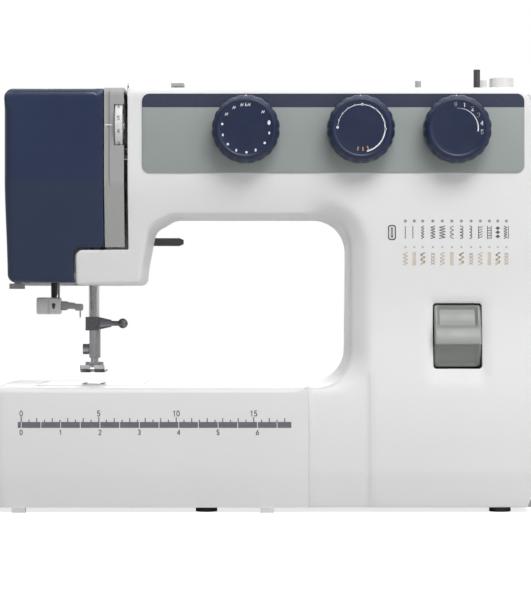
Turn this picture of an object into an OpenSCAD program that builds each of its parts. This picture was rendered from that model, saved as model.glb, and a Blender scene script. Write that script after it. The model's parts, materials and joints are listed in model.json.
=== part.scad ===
// Free-arm zigzag sewing machine, as an assembly of separate pieces.
// X runs to the right along the bed, Y to the back, Z up.
// The origin is under the middle of the machine, on the surface it stands on.

/* [Casing] */
// Right end of the column casing
body_right = 174; // [172:1:176]
// Left end of the needle head
head_left = -172.5; // [-174:0.5:-171]
// Top of the arm
arm_top = 276; // [274:1:280]
// Underside of the arm
arm_under = 192.5; // [190:0.5:194]
// Lowest point of the needle head
head_low = 147.3; // [145:0.1:149]
// Right wall of the space beside the needle
col_left = 55; // [50:1:58]
// Front plane of the arm and column
arm_front = -72; // [-74:0.5:-71]
// Rear plane of the arm and column
arm_rear = 46; // [45:1:50]
// Front of the base
base_front = -84; // [-85:0.5:-83]
// Rear of the base
base_rear = 87; // [84:1:88]
// Wall thickness of the moulded casings
wall = 2.5; // [2:0.1:3]

/* [Bed] */
// Height of the bed above the table
bed_top = 80.7; // [78:0.1:81]
// Underside of the casings above the table
under = 3.3; // [3:0.1:4]
// Seam between extension table and base
seam_x = 28; // [27:0.5:30]
// Left end of the extension table
table_left = -191; // [-195:1:-185]
// Left end of the free arm
free_left = -153; // [-155:1:-151]
// Half width of the free arm
free_half = 38; // [37:0.5:39]

/* [Controls] */
// Diameter of the three dials
knob_d = 44; // [40:1:46]
// How far a dial stands out from the panel
knob_h = 16.4; // [12:0.2:18]
// Height of the dial axes
knob_z = 247.9; // [246:0.1:249]
// Radius of the tension thumbwheel
wheel_r = 20; // [18:0.5:21]
// Radius of the handwheel
handwheel_r = 35; // [30:1:37]

/* [Needle] */
// Position of the needle along the bed
needle_x = -116.5; // [-117:0.5:-116]
// Position of the needle from front to back
needle_y = -5; // [-6:0.5:-4]
// Presser bar behind the needle
presser_y = 10; // [9.5:0.5:10.5]
// Height of the presser foot sole when raised
foot_z = 88.6; // [88.4:0.1:89]

/* [Hidden] */
$fn = 48;

white = [0.92, 0.92, 0.91];
navy = [0.20, 0.24, 0.34];
grey = [0.58, 0.59, 0.58];
steel = [0.75, 0.76, 0.78];
dark = [0.25, 0.25, 0.27];

// shaft axes: [y, z]
us = [-8, 236];      // upper shaft
ls = [20, 60];       // lower shaft
ms = [32, 62];       // motor shaft
hk = [needle_x, 52]; // hook axis, x and z
tw = [-56, 251.4];   // tension wheel axis, y and z
tu = [4, 238];       // take-up lever pivot, y and z
lift = [-104, 180];  // presser lifter pivot, x and z
rv = [-46, 114];     // reverse lever pivot, y and z
hp = [50, 258];      // carrying handle pivot, y and z
sel_x = -12.7;
len_x = 61.8;
wid_x = 124.1;
split = 2;           // plane between front and rear casing

// ---- outline helpers: a corner list of [x, y, radius], counter-clockwise ----
function u2(v) = v / norm(v);
function arc_corner(a, b, c, r, n) =
  let(p = [b[0], b[1]])
  r < 0.01 ? [p] :
  let(u = u2([a[0], a[1]] - p), v = u2([c[0], c[1]] - p), g = acos(u * v),
      s = p + u * (r / tan(g / 2)), e = p + v * (r / tan(g / 2)),
      o = p + u2(u + v) * (r / sin(g / 2)),
      a0 = atan2(s[1] - o[1], s[0] - o[0]), a1 = atan2(e[1] - o[1], e[0] - o[0]),
      d = a1 - a0, dd = d > 180 ? d - 360 : (d < -180 ? d + 360 : d))
  [for (k = [0:n]) o + r * [cos(a0 + dd * k / n), sin(a0 + dd * k / n)]];
function round_all(p, n = 5) = let(m = len(p))
  [for (i = [0:m - 1]) each arc_corner(p[(i + m - 1) % m], p[i], p[(i + 1) % m], p[i][2], n)];
function inset(p, t) = let(m = len(p))
  [for (i = [0:m - 1])
    let(a = p[(i + m - 1) % m], b = p[i], c = p[(i + 1) % m],
        e = u2([b[0] - a[0], b[1] - a[1]]), f = u2([c[0] - b[0], c[1] - b[1]]),
        n1 = [-e[1], e[0]], n2 = [-f[1], f[0]], w = (n1 + n2) / (1 + n1 * n2),
        cr = e[0] * f[1] - e[1] * f[0])
    [b[0] + w[0] * t, b[1] + w[1] * t, b[2] < 0.01 ? 0 : max(cr > 0 ? b[2] - t : b[2] + t, 0)]];

module xz(y0, y1) { translate([0, y1, 0]) rotate([90, 0, 0]) linear_extrude(y1 - y0) children(); }
module yz(x0, x1) { translate([x0, 0, 0]) rotate([90, 0, 90]) linear_extrude(x1 - x0) children(); }
module box(a, b) { translate(a) cube(b - a); }
module rod_x(x0, x1, yz0, r) { translate([x0, yz0[0], yz0[1]]) rotate([0, 90, 0]) cylinder(r = r, h = x1 - x0); }
module rod_y(y0, y1, xz0, r) { translate([xz0[0], y1, xz0[1]]) rotate([90, 0, 0]) cylinder(r = r, h = y1 - y0); }
module rod_z(z0, z1, xy0, r) { translate([xy0[0], xy0[1], z0]) cylinder(r = r, h = z1 - z0); }

// ---- casing outlines ----
// front view of the whole white casing, head to column
W_OUT = [[head_left, arm_top, 8], [head_left, head_low, 6], [-82, head_low, 5], [-80.5, 161, 10],
  [-76, arm_under - 8, 10], [-62, arm_under, 10], [col_left, arm_under, 22], [col_left, bed_top, 22],
  [seam_x, bed_top, 0], [seam_x, under, 0], [body_right, under, 0], [body_right, arm_top, 0]];
// the same with the right end and bottom open, for the hollow
W_IN = [[head_left, arm_top, 8], [head_left, head_low, 6], [-82, head_low, 5], [-80.5, 161, 10],
  [-76, arm_under - 8, 10], [-62, arm_under, 10], [col_left, arm_under, 22], [col_left, bed_top, 22],
  [seam_x, bed_top, 0], [seam_x, under - 20, 0], [body_right + 20, under - 20, 0], [body_right + 20, arm_top, 0]];
// side view of the arm and head: upright above, leaning back below
P_ARM = [[arm_front, arm_top, 5], [arm_front, 214, 14], [arm_front + 16, head_low, 3],
  [arm_rear, head_low, 4], [arm_rear, arm_top, 12]];
// side view of the column and base: upright above, spreading to the base
P_COL = [[arm_front, arm_top, 5], [arm_front, 132, 60], [base_front, 66, 40], [base_front, 26, 4],
  [base_front + 2.5, under, 0], [base_rear - 2, under, 0], [base_rear, 26, 6], [base_rear, 62, 30],
  [arm_rear, 150, 60], [arm_rear, arm_top, 12]];
P_COL_IN = [[arm_front, arm_top, 5], [arm_front, 132, 60], [base_front, 66, 40], [base_front, 26, 4],
  [base_front + 4.6, under - 20, 0], [base_rear - 4, under - 20, 0], [base_rear, 26, 6], [base_rear, 62, 30],
  [arm_rear, 150, 60], [arm_rear, arm_top, 12]];
// navy face cover, front view: notched lower right corner for the toe of the front casing
F_OUT = [[-173, arm_top, 6], [-173, 148.8, 5], [-126, 148.8, 1], [-126, 171.8, 5], [-105.6, 171.8, 0], [-105.6, arm_top, 0]];
F_IN = [[-173, arm_top, 6], [-173, 120, 0], [-90, 120, 0], [-90, arm_top, 0]];

module casing(t) {
  intersection() {
    xz(-100, 100) polygon(round_all(t > 0 ? inset(W_IN, t) : W_OUT));
    union() {
      intersection() {
        yz(-200, col_left + t) polygon(round_all(inset(P_ARM, t)));
        box([-200, -120, 100], [col_left + t, 120, 300]);
      }
      intersection() {
        yz(-200, 220) polygon(round_all(t > 0 ? inset(P_COL_IN, t) : P_COL));
        union() {
          box([col_left + t, -120, -40], [220, 120, 300]);
          box([seam_x - 1, -120, -40], [col_left + t + 1, 120, 100]);
        }
      }
    }
  }
}
module casing_shell() { difference() { casing(0); casing(wall); } }

module front_cover() {
  color(white) difference() {
    intersection() {
      casing_shell();
      union() {
        box([-89.8, -120, 165], [220, split, 300]);
        box([-80.9, -120, -10], [220, split, 170.3]);
        xz(-120, split) polygon(round_all([[-124.7, 140, 0], [-78, 140, 0], [-78, 170.3, 0], [-124.7, 170.3, 5]]));
      }
    }
    // seat of the control panel
    xz(-80, arm_front + 1.2) polygon(round_all([[-80.6, 219.9, 5], [168.6, 219.9, 5], [168.6, 271.9, 5], [-80.6, 271.9, 5]]));
    for (x = [sel_x, len_x, wid_x]) rod_y(-90, -40, [x, knob_z], 5.4);
    // window of the reverse lever
    xz(-100, -60) polygon(round_all([[108.8, 92.6, 3], [140.8, 92.6, 3], [140.8, 135.4, 3], [108.8, 135.4, 3]]));
    // slot of the winder spindle
    box([137.5, -33, 270], [150, -27, 280]);
    rod_z(270, 280, [-59, -10], 2);
    // way for the bars under the toe, and for the free arm and bottom plate
    box([-125, -45, 140], [-95, split + 1, 152]);
    box([seam_x - 1, -35, 30.3], [seam_x + 4, split + 1, 78.6]);
    box([seam_x - 1, -78.4, -5], [seam_x + 4, split + 1, 7.6]);
  }
}
module rear_cover() {
  color(white) difference() {
    union() {
      intersection() { casing_shell(); box([-200, split, -10], [220, 120, 300]); }
      // ears that carry the handle
      for (x = [-23.2, 77.2]) box([x, arm_rear - 1, hp[1] - 5], [x + 4.4, arm_rear + 8, hp[1] + 5]);
    }
    for (x = [-23.2, 77.2]) rod_x(x - 2, x + 7, hp, 2.46);
    rod_z(270, 280, [105.7, 34], 2.9);
    rod_y(40, 50, lift, 3.8);
    box([-166, split - 1, 140], [-95, 40, 152]);
    box([seam_x - 1, split - 1, 30.3], [seam_x + 4, 35, 78.6]);
    box([seam_x - 1, split - 1, -5], [seam_x + 4, 73.4, 7.6]);
    for (x = [-150, 20, 160], z = [262]) rod_y(40, 50, [x, z], 1.9);
    rod_y(40, 50, [-158, 162], 1.9);
    for (x = [62, 168]) rod_y(70, 95, [x, 34], 1.9);
  }
}
module side_cover() {
  color(white) difference() {
    intersection() {
      yz(body_right, body_right + 3.5) polygon(round_all(P_COL));
      xz(-100, 100) polygon(round_all([[100, under, 0], [body_right + 3.5, under, 2], [body_right + 3.5, arm_top, 6], [100, arm_top, 0]]));
    }
    rod_x(170, 180, us, 8);
    box([170, 22, 19], [180, 46, 43]);
    box([170, 24.5, 51.5], [180, 43.5, 70.5]);
  }
}
module base_plate() {
  color(grey) difference() {
    union() {
      box([seam_x + 2.8, base_front + 6, under], [body_right - 0.5, base_rear - 6, under + 4]);
      box([-56, -78, under], [seam_x + 3, 73, under + 4]);
      for (x = [104, 148]) box([x, 12, under + 4], [x + 4, 52, 35.4]);
      for (y = [-50, 48]) box([72, y, under + 4], [84, y + 8, 10]);
    }
    for (p = [[-38.4, -70], [-38.4, 64], [152.6, -70], [152.6, 72]]) rod_z(0, under + 2, p, 5);
  }
}
module rubber_feet() {
  color(dark) for (p = [[-38.4, -70], [-38.4, 64], [152.6, -70], [152.6, 72]]) {
    rod_z(0, under, p, 7);
    rod_z(under, under + 2, p, 4.95);
  }
}
module free_arm_shell() {
  color(white) difference() {
    intersection() {
      linear_extrude(200) polygon(round_all([[free_left, -free_half, 14], [seam_x, -free_half, 0], [seam_x, free_half, 0], [free_left, free_half, 14]]));
      yz(-200, 100) polygon(round_all([[-free_half, 28, 6], [free_half, 28, 6], [free_half, bed_top, 2], [-free_half, bed_top, 2]]));
    }
    intersection() {
      linear_extrude(200) polygon(round_all([[free_left + wall, wall - free_half, 12], [seam_x + 5, wall - free_half, 0], [seam_x + 5, free_half - wall, 0], [free_left + wall, free_half - wall, 12]]));
      yz(-200, 100) polygon(round_all([[wall - free_half, 28 + wall, 4], [free_half - wall, 28 + wall, 4], [free_half - wall, bed_top - wall, 1], [wall - free_half, bed_top - wall, 1]]));
    }
    box([-149, -35.3, 79.3], [-81.7, 35.3, 90]);
    box([-146, -32, 70], [-85, 32, 90]);
    box([-146, -60, 30.7], [-92, -34, 76]);
  }
}
module needle_plate() {
  color(steel) difference() {
    box([-148.7, -35, 79.3], [-82, 35, bed_top + 0.2]);
    for (x = [-124.1, -112.1]) box([x, -14.5, 70], [x + 3.2, 14.5, 90]);
    box([needle_x - 3.5, needle_y - 1.3, 70], [needle_x + 3.5, needle_y + 1.3, 90]);
    for (x = [-143, -87.5]) rod_z(70, 90, [x, 0], 2);
  }
}
module hook_cover() {
  color(white) difference() {
    union() {
      box([-145.7, -38, 32.1], [-92.3, -35.9, 75.7]);
      rod_x(-145.7, -92.3, [-36.9, 32.1], 1.05);
    }
    box([-126, -40, 73.5], [-112, -36.9, 80]);
  }
}
module extension_table() {
  color(white) difference() {
    intersection() {
      linear_extrude(200) polygon(round_all([[table_left, -85, 24], [seam_x - 0.3, -85, 0], [seam_x - 0.3, 80, 0], [table_left, 80, 30]], 7));
      yz(-220, 100) polygon(round_all([[-83, under, 0], [78, under, 0], [80, 26, 4], [80, bed_top, 4], [-85, bed_top, 4], [-85, 26, 4]]));
      xz(-100, 100) polygon(round_all([[table_left + 2, under, 0], [seam_x - 0.3, under, 0], [seam_x - 0.3, bed_top, 0], [table_left, bed_top, 20], [table_left, 26, 4]], 7));
    }
    intersection() {
      translate([0, 0, -10]) linear_extrude(200) polygon(round_all([[table_left + wall, -85 + wall, 21.5], [seam_x + 5, -85 + wall, 0], [seam_x + 5, 80 - wall, 0], [table_left + wall, 80 - wall, 27.5]], 7));
      yz(-220, 100) polygon(round_all([[-78.5, under - 20, 0], [73.5, under - 20, 0], [80 - wall, 26, 4], [80 - wall, bed_top - wall, 2], [wall - 85, bed_top - wall, 2], [wall - 85, 26, 4]]));
      xz(-100, 100) polygon(round_all([[table_left + 6, under - 20, 0], [seam_x + 5, under - 20, 0], [seam_x + 5, bed_top - wall, 0], [table_left + wall, bed_top - wall, 17.5], [table_left + wall, 26, 4]], 7));
    }
    box([free_left - 0.6, -free_half - 0.5, -10], [seam_x + 5, free_half + 0.5, 100]);
  }
}
module table_feet() {
  color(white) for (x = [-159.5, 1], y = [-84.4, 74.6]) box([x - 4.4, y, 0], [x + 4.4, y + 4.8, under]);
}
module face_cover() {
  color(navy) difference() {
    intersection() {
      xz(-100, 0.9) polygon(round_all(F_OUT));
      yz(-200, 0) polygon(round_all(P_ARM));
    }
    intersection() {
      xz(-100, 10) polygon(round_all(inset(F_IN, wall)));
      yz(-200, 0) polygon(round_all([[arm_front + wall, arm_top - wall, 3], [arm_front + wall, 213.7, 14], [arm_front + 18.5, head_low - 0.8, 0],
        [arm_front + 22, 130, 0], [60, 130, 0], [60, arm_top - wall, 0]]));
    }
  }
  // knuckles on the hinge axis
  color(navy) for (z = [160, 238]) rod_z(z, z + 22, [-171.6, 0.4], 1.2);
}
module thread_channel() {
  color(grey) difference() {
    intersection() {
      union() {
        box([-105, -100, 172], [-92.2, -40, 272.5]);
        box([-105, -100, 262], [-92.2, split - 0.2, 300]);
      }
      difference() {
        yz(-200, 0) polygon(round_all(P_ARM));
        yz(-200, 0) polygon(round_all([[arm_front + wall, arm_top - wall, 3], [arm_front + wall, 213.7, 14], [arm_front + 18.5, head_low - 0.8, 0],
          [arm_front + 22, 130, 0], [60, 130, 0], [60, arm_top - wall, 0]]));
      }
    }
    rod_x(-98.5, -90, tw, wheel_r + 0.8);
    // groove that leads the thread
    box([-102.6, -100, 180], [-101.4, arm_front + 0.9, 280]);
  }
}
module control_panel() {
  color(grey) difference() {
    xz(arm_front - 0.6, arm_front + 1.1) polygon(round_all([[-80.4, 220.1, 5], [168.4, 220.1, 5], [168.4, 271.7, 5], [-80.4, 271.7, 5]]));
    for (x = [sel_x, len_x, wid_x]) rod_y(-90, -40, [x, knob_z], 5.3);
  }
}
module knob(x) {
  rod_y(arm_front - 0.9 - knob_h, arm_front - 0.9, [x, knob_z], knob_d / 2);
  rod_y(arm_front - 1, -50, [x, knob_z], 5);
}
module selector_dial() { color(navy) knob(sel_x); }
module length_dial() { color(navy) knob(len_x); }
module width_dial() { color(navy) knob(wid_x); }
module tension_dial() {
  color(white) difference() {
    rod_x(-98, -93, tw, wheel_r);
    rod_x(-99, -92, tw, 3.3);
  }
}
module tension_discs() {
  color(steel) {
    rod_x(-104.4, -92.4, tw, 3.2);
    rod_x(-104, -102.6, tw, 11);
    rod_x(-102.3, -101.3, tw, 10);
    rod_x(-100.9, -99.6, tw, 11);
  }
}
module reverse_lever() {
  color(grey) difference() {
    intersection() {
      union() {
        rod_x(109.6, 140, rv, 30.9);
        intersection() { rod_x(109.6, 140, rv, 36.6); yz(100, 150) polygon([[rv[0], rv[1]], [-100, rv[1] - 9.5], [-100, rv[1] + 8]]); }
      }
      yz(100, 150) polygon([[rv[0] + 6, rv[1] - 7], [rv[0] + 6, rv[1] + 7], [rv[0] - 18, rv[1] + 34], [-100, rv[1] + 34], [-100, rv[1] - 34], [rv[0] - 18, rv[1] - 34]]);
    }
    rod_x(100, 150, rv, 2.55);
    rod_x(113, 136.5, rv, 27);
  }
}
module take_up_lever() {
  color(steel) difference() {
    union() {
      rod_x(-96, -90.2, tu, 6);
      yz(-91.6, -90.2) polygon([[tu[0] - 2, tu[1] - 6], [tu[0] + 5, tu[1] + 3], [-33, 280.6], [-37, 281.6], [-40.5, 279.5], [-40.5, 276]]);
    }
    rod_x(-97, -89, tu, 3.05);
    rod_x(-97, -89, [-36.6, 278], 1.3);
  }
}
module needle_bar() {
  color(steel) {
    rod_z(126, 268, [needle_x, needle_y], 3.2);
    rod_z(204, 214, [needle_x, needle_y], 5.8);
  }
}
module needle_clamp() {
  color(dark) difference() {
    box([-121.6, needle_y - 4.6, 116.8], [-112.6, needle_y + 4.6, 126]);
    rod_z(110, 125, [needle_x, needle_y], 1.05);
    rod_x(-115.2, -110, [needle_y, 121.6], 1.6);
  }
}
module needle_clamp_screw() {
  color(dark) {
    rod_x(-115, -112.3, [needle_y, 121.6], 1.5);
    translate([-112.3, needle_y, 121.6]) rotate([0, 90, 0]) cylinder(r1 = 4.2, r2 = 2.4, h = 8);
    rod_x(-104.3, -98.6, [needle_y, 121.6], 1.7);
    translate([-96.6, needle_y, 121.6]) sphere(r = 3.4);
  }
}
module needle() {
  color(steel) {
    rod_z(110, 124.8, [needle_x, needle_y], 1);
    rod_z(97, 110, [needle_x, needle_y], 0.5);
    translate([needle_x, needle_y, 94]) cylinder(r1 = 0.1, r2 = 0.5, h = 3, $fn = 24);
  }
}
module presser_bar() {
  color(steel) {
    rod_z(118, 250, [needle_x, presser_y], 3);
    rod_z(178, 184, [needle_x, presser_y], 5.6);
  }
}
// compression spring: a round wire swept along a helix
module presser_spring() {
  turns = 9; seg = 14; side = 6; wire = 0.7; cr = 4.5; z0 = 185.2; z1 = 228.8;
  n = turns * seg;
  pts = [for (i = [0:n]) let(a = 360 * i / seg, z = z0 + (z1 - z0) * i / n)
    for (k = [0:side - 1]) let(b = 360 * k / side, r = cr + wire * cos(b))
      [needle_x + r * cos(a), presser_y + r * sin(a), z + wire * sin(b)]];
  faces = concat([[for (k = [0:side - 1]) side - 1 - k]],
    [for (i = [0:n - 1], k = [0:side - 1]) let(q = (k + 1) % side)
      [i * side + k, i * side + q, (i + 1) * side + q, (i + 1) * side + k]],
    [[for (k = [0:side - 1]) n * side + k]]);
  color(steel) polyhedron(pts, [for (f = faces) [for (j = [len(f) - 1:-1:0]) f[j]]]);
}
module foot_holder() {
  color(steel) difference() {
    union() {
      box([needle_x - 3.6, presser_y - 4.2, 98], [needle_x + 3.6, presser_y + 4.2, 118]);
      box([needle_x - 2.4, presser_y - 7.5, 91.6], [needle_x + 2.4, presser_y + 0.5, 98]);
    }
    rod_x(needle_x - 5, needle_x - 1, [presser_y, 104], 1.6);
    rod_x(-130, -100, [5, 93.4], 1.2);
  }
}
module foot_screw() {
  color(steel) {
    rod_x(needle_x - 3.9, needle_x - 1.2, [presser_y, 104], 1.5);
    rod_x(needle_x - 8.2, needle_x - 3.9, [presser_y, 104], 3.8);
  }
}
module presser_foot() {
  color(steel) difference() {
    union() {
      yz(needle_x - 8.2, needle_x + 8.2) polygon([[-17, foot_z + 4.2], [-19, foot_z + 5], [-18.2, foot_z + 2.4], [-13, foot_z], [17, foot_z], [17, foot_z + 1.7], [-12.4, foot_z + 1.7]]);
      for (x = [needle_x - 6, needle_x + 3]) box([x, 2.2, foot_z + 1], [x + 3, 7.8, foot_z + 6.8]);
      rod_x(needle_x - 5.8, needle_x + 5.8, [5, 93.4], 1.1);
    }
    box([needle_x - 3.6, needle_y - 2, 80], [needle_x + 3.6, needle_y + 2, 100]);
    box([needle_x - 1.4, -30, 80], [needle_x + 1.4, needle_y, 100]);
  }
}
module presser_lifter() {
  color(dark) {
    rod_y(25, 46.5, lift, 3.5);
    rod_y(27, 33, lift, 6.5);
    rod_y(46.5, 53, lift, 7);
    xz(46.5, 51.5) polygon([[lift[0] - 2, lift[1] + 5], [lift[0] - 2, lift[1] - 5], [-76, 175.2], [-60, 175.2], [-57.2, 176.4], [-57.2, 179.4], [-60, 180.6], [-76, 180.6]]);
    box([-76, 46.5, 175.2], [-60, 55, 180.6]);
  }
}
module threader() {
  color(white) {
    rod_z(139.2, 222, [-142, -17], 2.2);
    box([-153.6, -23, 127.7], [-137.2, -11.4, 139.2]);
    box([-137.2, -19.5, 130], [-122.6, -14, 136.7]);
  }
}
module buttonhole_lever() {
  color(grey) {
    box([-169.4, -12, 148.5], [-165.4, -8, 225]);
    box([-172.4, -16, 144.9], [-163, -4, 148.5]);
  }
}
module machine_frame() {
  color([0.62, 0.63, 0.64]) difference() {
    union() {
      box([-165, 18, 205], [150, 24, 262]);
      box([-165, 18, 156], [-110, 24, 205]);
      box([70, -60, 10], [76, 40, 262]);
      box([144, -60, 95], [150, 24, 250]);
      rod_x(106, 146, rv, 2.5);
      box([-124, -12, 158], [-109, 18, 168]);
      box([-124, -12, 230], [-100, 18, 240]);
      box([-147, -21, 195], [-137, 18, 205]);
      rod_x(-104, -89.9, tu, 3);
      box([-74, -18, 225], [-66, 18, 247]);
      box([12, -46, 197], [28, 18, 203]);
      box([12, 18, 197], [28, 24, 205]);
      box([-96, -34, 32], [-90, 34, 76]);
      box([-96, -34, 32], [76, 10, 38]);
      box([76, -60, 10], [150, -54, 60]);
    }
    for (x = [-80, 60, 138]) rod_x(x, x + 25, us, 9);
    rod_x(-100, -85, ls, 8);
    rod_x(60, 80, ls, 8);
    rod_z(150, 250, [needle_x, needle_y], 3.26);
    rod_z(150, 250, [needle_x, presser_y], 3.06);
    rod_z(190, 210, [-142, -17], 2.26);
    rod_z(190, 210, [20, -40], 3.05);
    // windows that lighten the castings
    box([-60, 10, 215], [4, 30, 252]);
    box([34, 10, 215], [64, 30, 252]);
    box([84, 10, 215], [128, 30, 252]);
    box([60, -50, 110], [80, 34, 200]);
    box([138, -40, 110], [156, 12, 210]);
  }
}
module shaft_bushings() {
  color([0.72, 0.6, 0.36]) {
    for (x = [[-74, -66], [70, 76], [144, 150]]) difference() { rod_x(x[0], x[1], us, 9); rod_x(x[0] - 1, x[1] + 1, us, 6.06); }
    for (x = [[-96, -90], [70, 76]]) difference() { rod_x(x[0], x[1], ls, 8); rod_x(x[0] - 1, x[1] + 1, ls, 5.06); }
  }
}
module upper_shaft() {
  color(steel) {
    rod_x(-81, 178, us, 6);
    rod_x(-87, -81, us, 18);
    rod_x(-89, -87, [us[0], us[1] + 12], 4);
    rod_x(84, 92, us, 15);
    rod_x(84 - 1.2, 84, us, 17);
    rod_x(92, 93.2, us, 17);
    rod_x(12, 28, us, 8);
    rod_x(160, 168, us, 27);
    rod_x(158.6, 160, us, 29);
    rod_x(168, 169.4, us, 29);
  }
}
module lower_shaft() {
  color(steel) {
    rod_x(-105, 94, ls, 5);
    rod_x(84, 92, ls, 15);
    rod_x(84 - 1.2, 84, ls, 16.6);
    rod_x(92, 93.2, ls, 16.6);
    rod_x(-109, -105, ls, 7);
  }
}
module belt(x0, x1, a, ra, b, rb, t) {
  yz(x0, x1) difference() {
    hull() { translate(a) circle(r = ra + t, $fn = 64); translate(b) circle(r = rb + t, $fn = 48); }
    hull() { translate(a) circle(r = ra, $fn = 64); translate(b) circle(r = rb, $fn = 48); }
  }
}
module drive_belt() { color(dark) belt(160.6, 167.4, us, 27.35, ms, 8.35, 1.6); }
module timing_belt() { color(dark) belt(84.6, 91.4, us, 15.35, ls, 15.35, 1.2); }
module drive_motor() {
  color(dark) {
    rod_x(100, 152, ms, 26);
    rod_x(152, 156, ms, 9);
    rod_x(156, 159.4, ms, 3);
  }
}
module motor_pulley() {
  color(steel) {
    rod_x(160, 168, ms, 8);
    rod_x(159.6, 160.4, ms, 9.4);
    rod_x(167.6, 168.4, ms, 9.4);
  }
}
module handwheel() {
  color(white) {
    difference() {
      rod_x(178.2, 189, us, handwheel_r);
      rod_x(183, 192, us, handwheel_r - 6);
    }
    rod_x(178, 191, us, 16);
  }
}
module cam_stack() {
  color([0.85, 0.85, 0.82]) {
    rod_z(196, 244, [20, -40], 3);
    translate([20, -40, 232]) linear_extrude(8) polygon([for (i = [0:51]) let(a = 360 * i / 52, r = i % 2 == 0 ? 23.4 : 21.6) r * [cos(a), sin(a)]]);
    for (i = [0:5]) translate([20, -40, 204 + 4.6 * i])
      linear_extrude(3.6) polygon([for (a = [0:10:350]) (14.4 + 1.4 * cos((2 + i) * a + 25 * i)) * [cos(a), sin(a)]]);
    rod_z(204, 232, [20, -40], 11);
  }
}
module shuttle_race() {
  color(steel) {
    difference() {
      rod_y(-6, 11, hk, 19);
      rod_y(-7, 8, hk, 16.2);
      rod_y(-7, 12, hk, 4.06);
      box([needle_x - 6, -8, 60], [needle_x + 6, 6, 80]);
    }
    box([-98.2, 8.2, 40], [-96, 11, 64]);
  }
}
module shuttle_hook() {
  color(dark) {
    difference() {
      rod_y(-2.5, 6, hk, 15.7);
      rod_y(-3, 3, hk, 11.6);
      rod_y(-3, 7, hk, 3.9);
      box([needle_x - 20, -3, 40], [needle_x - 2, 3, 56]);
    }
    rod_y(3, 34, hk, 4);
    rod_y(14, 20, hk, 6.5);
  }
}
module bobbin_case() {
  color(steel) difference() {
    union() { rod_y(-18, -6.6, hk, 12.2); box([needle_x + 9, -10, 50], [-96, -8, 54]); }
    rod_y(-16.8, -6, hk, 11.3);
  }
  color(steel) rod_y(-17, -7, hk, 2.6);
}
module bobbin() {
  color(steel) difference() {
    union() {
      rod_y(-16.4, -15.6, hk, 10.8);
      rod_y(-8.2, -7.4, hk, 10.8);
      rod_y(-16, -8, hk, 4.2);
    }
    rod_y(-17, -7, hk, 2.66);
  }
}
module feed_dog() {
  color(steel) {
    box([-125, 0, 72.6], [-108, 9, 75]);
    for (x = [-123.6, -111.6]) {
      box([x, -10.5, 74.9], [x + 2.2, 10.5, 79.6]);
      for (k = [0:9]) yz(x, x + 2.2) polygon([[-10.5 + 2.1 * k, 79.5], [-8.4 + 2.1 * k, 79.5], [-8.4 + 2.1 * k, 80.5]]);
    }
  }
}
module lamp_bulb() {
  color([1, 0.97, 0.85]) { translate([-150, 34, 166]) sphere(r = 8); rod_z(166, 181, [-150, 34], 6.4); }
}
module lamp_socket() {
  color(white) difference() { rod_z(176, 205, [-150, 34], 8.8); rod_z(175, 181.2, [-150, 34], 6.5); }
}
module top_thread_guide() {
  color(grey) {
    box([-63.4, -14, arm_top], [-54.7, -6, arm_top + 5]);
    rod_z(arm_top - 5, arm_top, [-59, -10], 1.9);
    box([-63.4, -20, arm_top + 5], [-54.7, -6, arm_top + 7]);
  }
}
module winder_stop() {
  color(white) { rod_z(arm_top, arm_top + 9, [157.4, -30], 8); rod_z(arm_top, arm_top + 9.5, [147, -12], 2.2); }
}
module winder_arm() {
  color(steel) difference() {
    box([118, -40, 256], [150, -20, 259]);
    rod_z(250, 262, [141, -30], 2.3);
  }
}
module winder_spindle() {
  color(dark) {
    rod_z(arm_top + 1.5, 291, [141, -30], 2.2);
    rod_z(arm_top + 1.5, arm_top + 3, [141, -30], 4);
  }
}
module winder_wheel() {
  color(dark) {
    rod_z(252, arm_top + 1.5, [141, -30], 2.2);
    rod_z(260, 266, [141, -30], 12);
  }
}
module spool_pin() {
  color(white) { rod_z(222, 289, [105.7, 34], 2); rod_z(222, arm_top + 0.5, [105.7, 34], 2.6); rod_z(220, 224, [105.7, 34], 4); }
}
module carry_handle() {
  color(white) {
    for (x = [-16, 70]) yz(x, x + 6) polygon([[hp[0] - 2.6, hp[1] + 2.6], [hp[0] + 2.6, hp[1] + 2.6], [hp[0] + 6, hp[1] - 12], [hp[0] + 6, hp[1] - 40], [hp[0] - 2.6, hp[1] - 40]]);
    xz(hp[0] - 2.6, hp[0] + 6) polygon(round_all([[-16, hp[1] - 44, 4], [76, hp[1] - 44, 4], [76, hp[1] - 24, 0], [-16, hp[1] - 24, 0]]));
    rod_x(-22, -16, hp, 2.4);
    rod_x(76, 82, hp, 2.4);
  }
}
module cover_screws() {
  color(dark) {
    for (x = [-150, 20, 160]) { rod_y(40, 46, [x, 262], 1.8); rod_y(46, 47.6, [x, 262], 3.4); }
    rod_y(40, 46, [-158, 162], 1.8);
    rod_y(46, 47.6, [-158, 162], 3.4);
    for (x = [62, 168]) { rod_y(78, base_rear, [x, 34], 1.8); rod_y(base_rear, base_rear + 1, [x, 34], 3.4); }
  }
}
module power_inlet() {
  color(dark) difference() {
    box([169.6, 22.2, 19.2], [177.9, 45.8, 42.8]);
    box([171.6, 24.6, 21.6], [180, 43.4, 40.4]);
  }
  color(steel) for (y = [30, 34, 38]) rod_x(171.6, 176, [y, 31], 1);
}
module power_switch() {
  color(dark) translate([173, 0, 61]) rotate([0, 7, 0]) {
    xz(25, 43) polygon([[-1, -8.4], [4.4, -8.4], [3.2, 0], [4.4, 8.4], [-1, 8.4]]);
    rod_y(25, 43, [0, 0], 2.2);
  }
}

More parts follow.
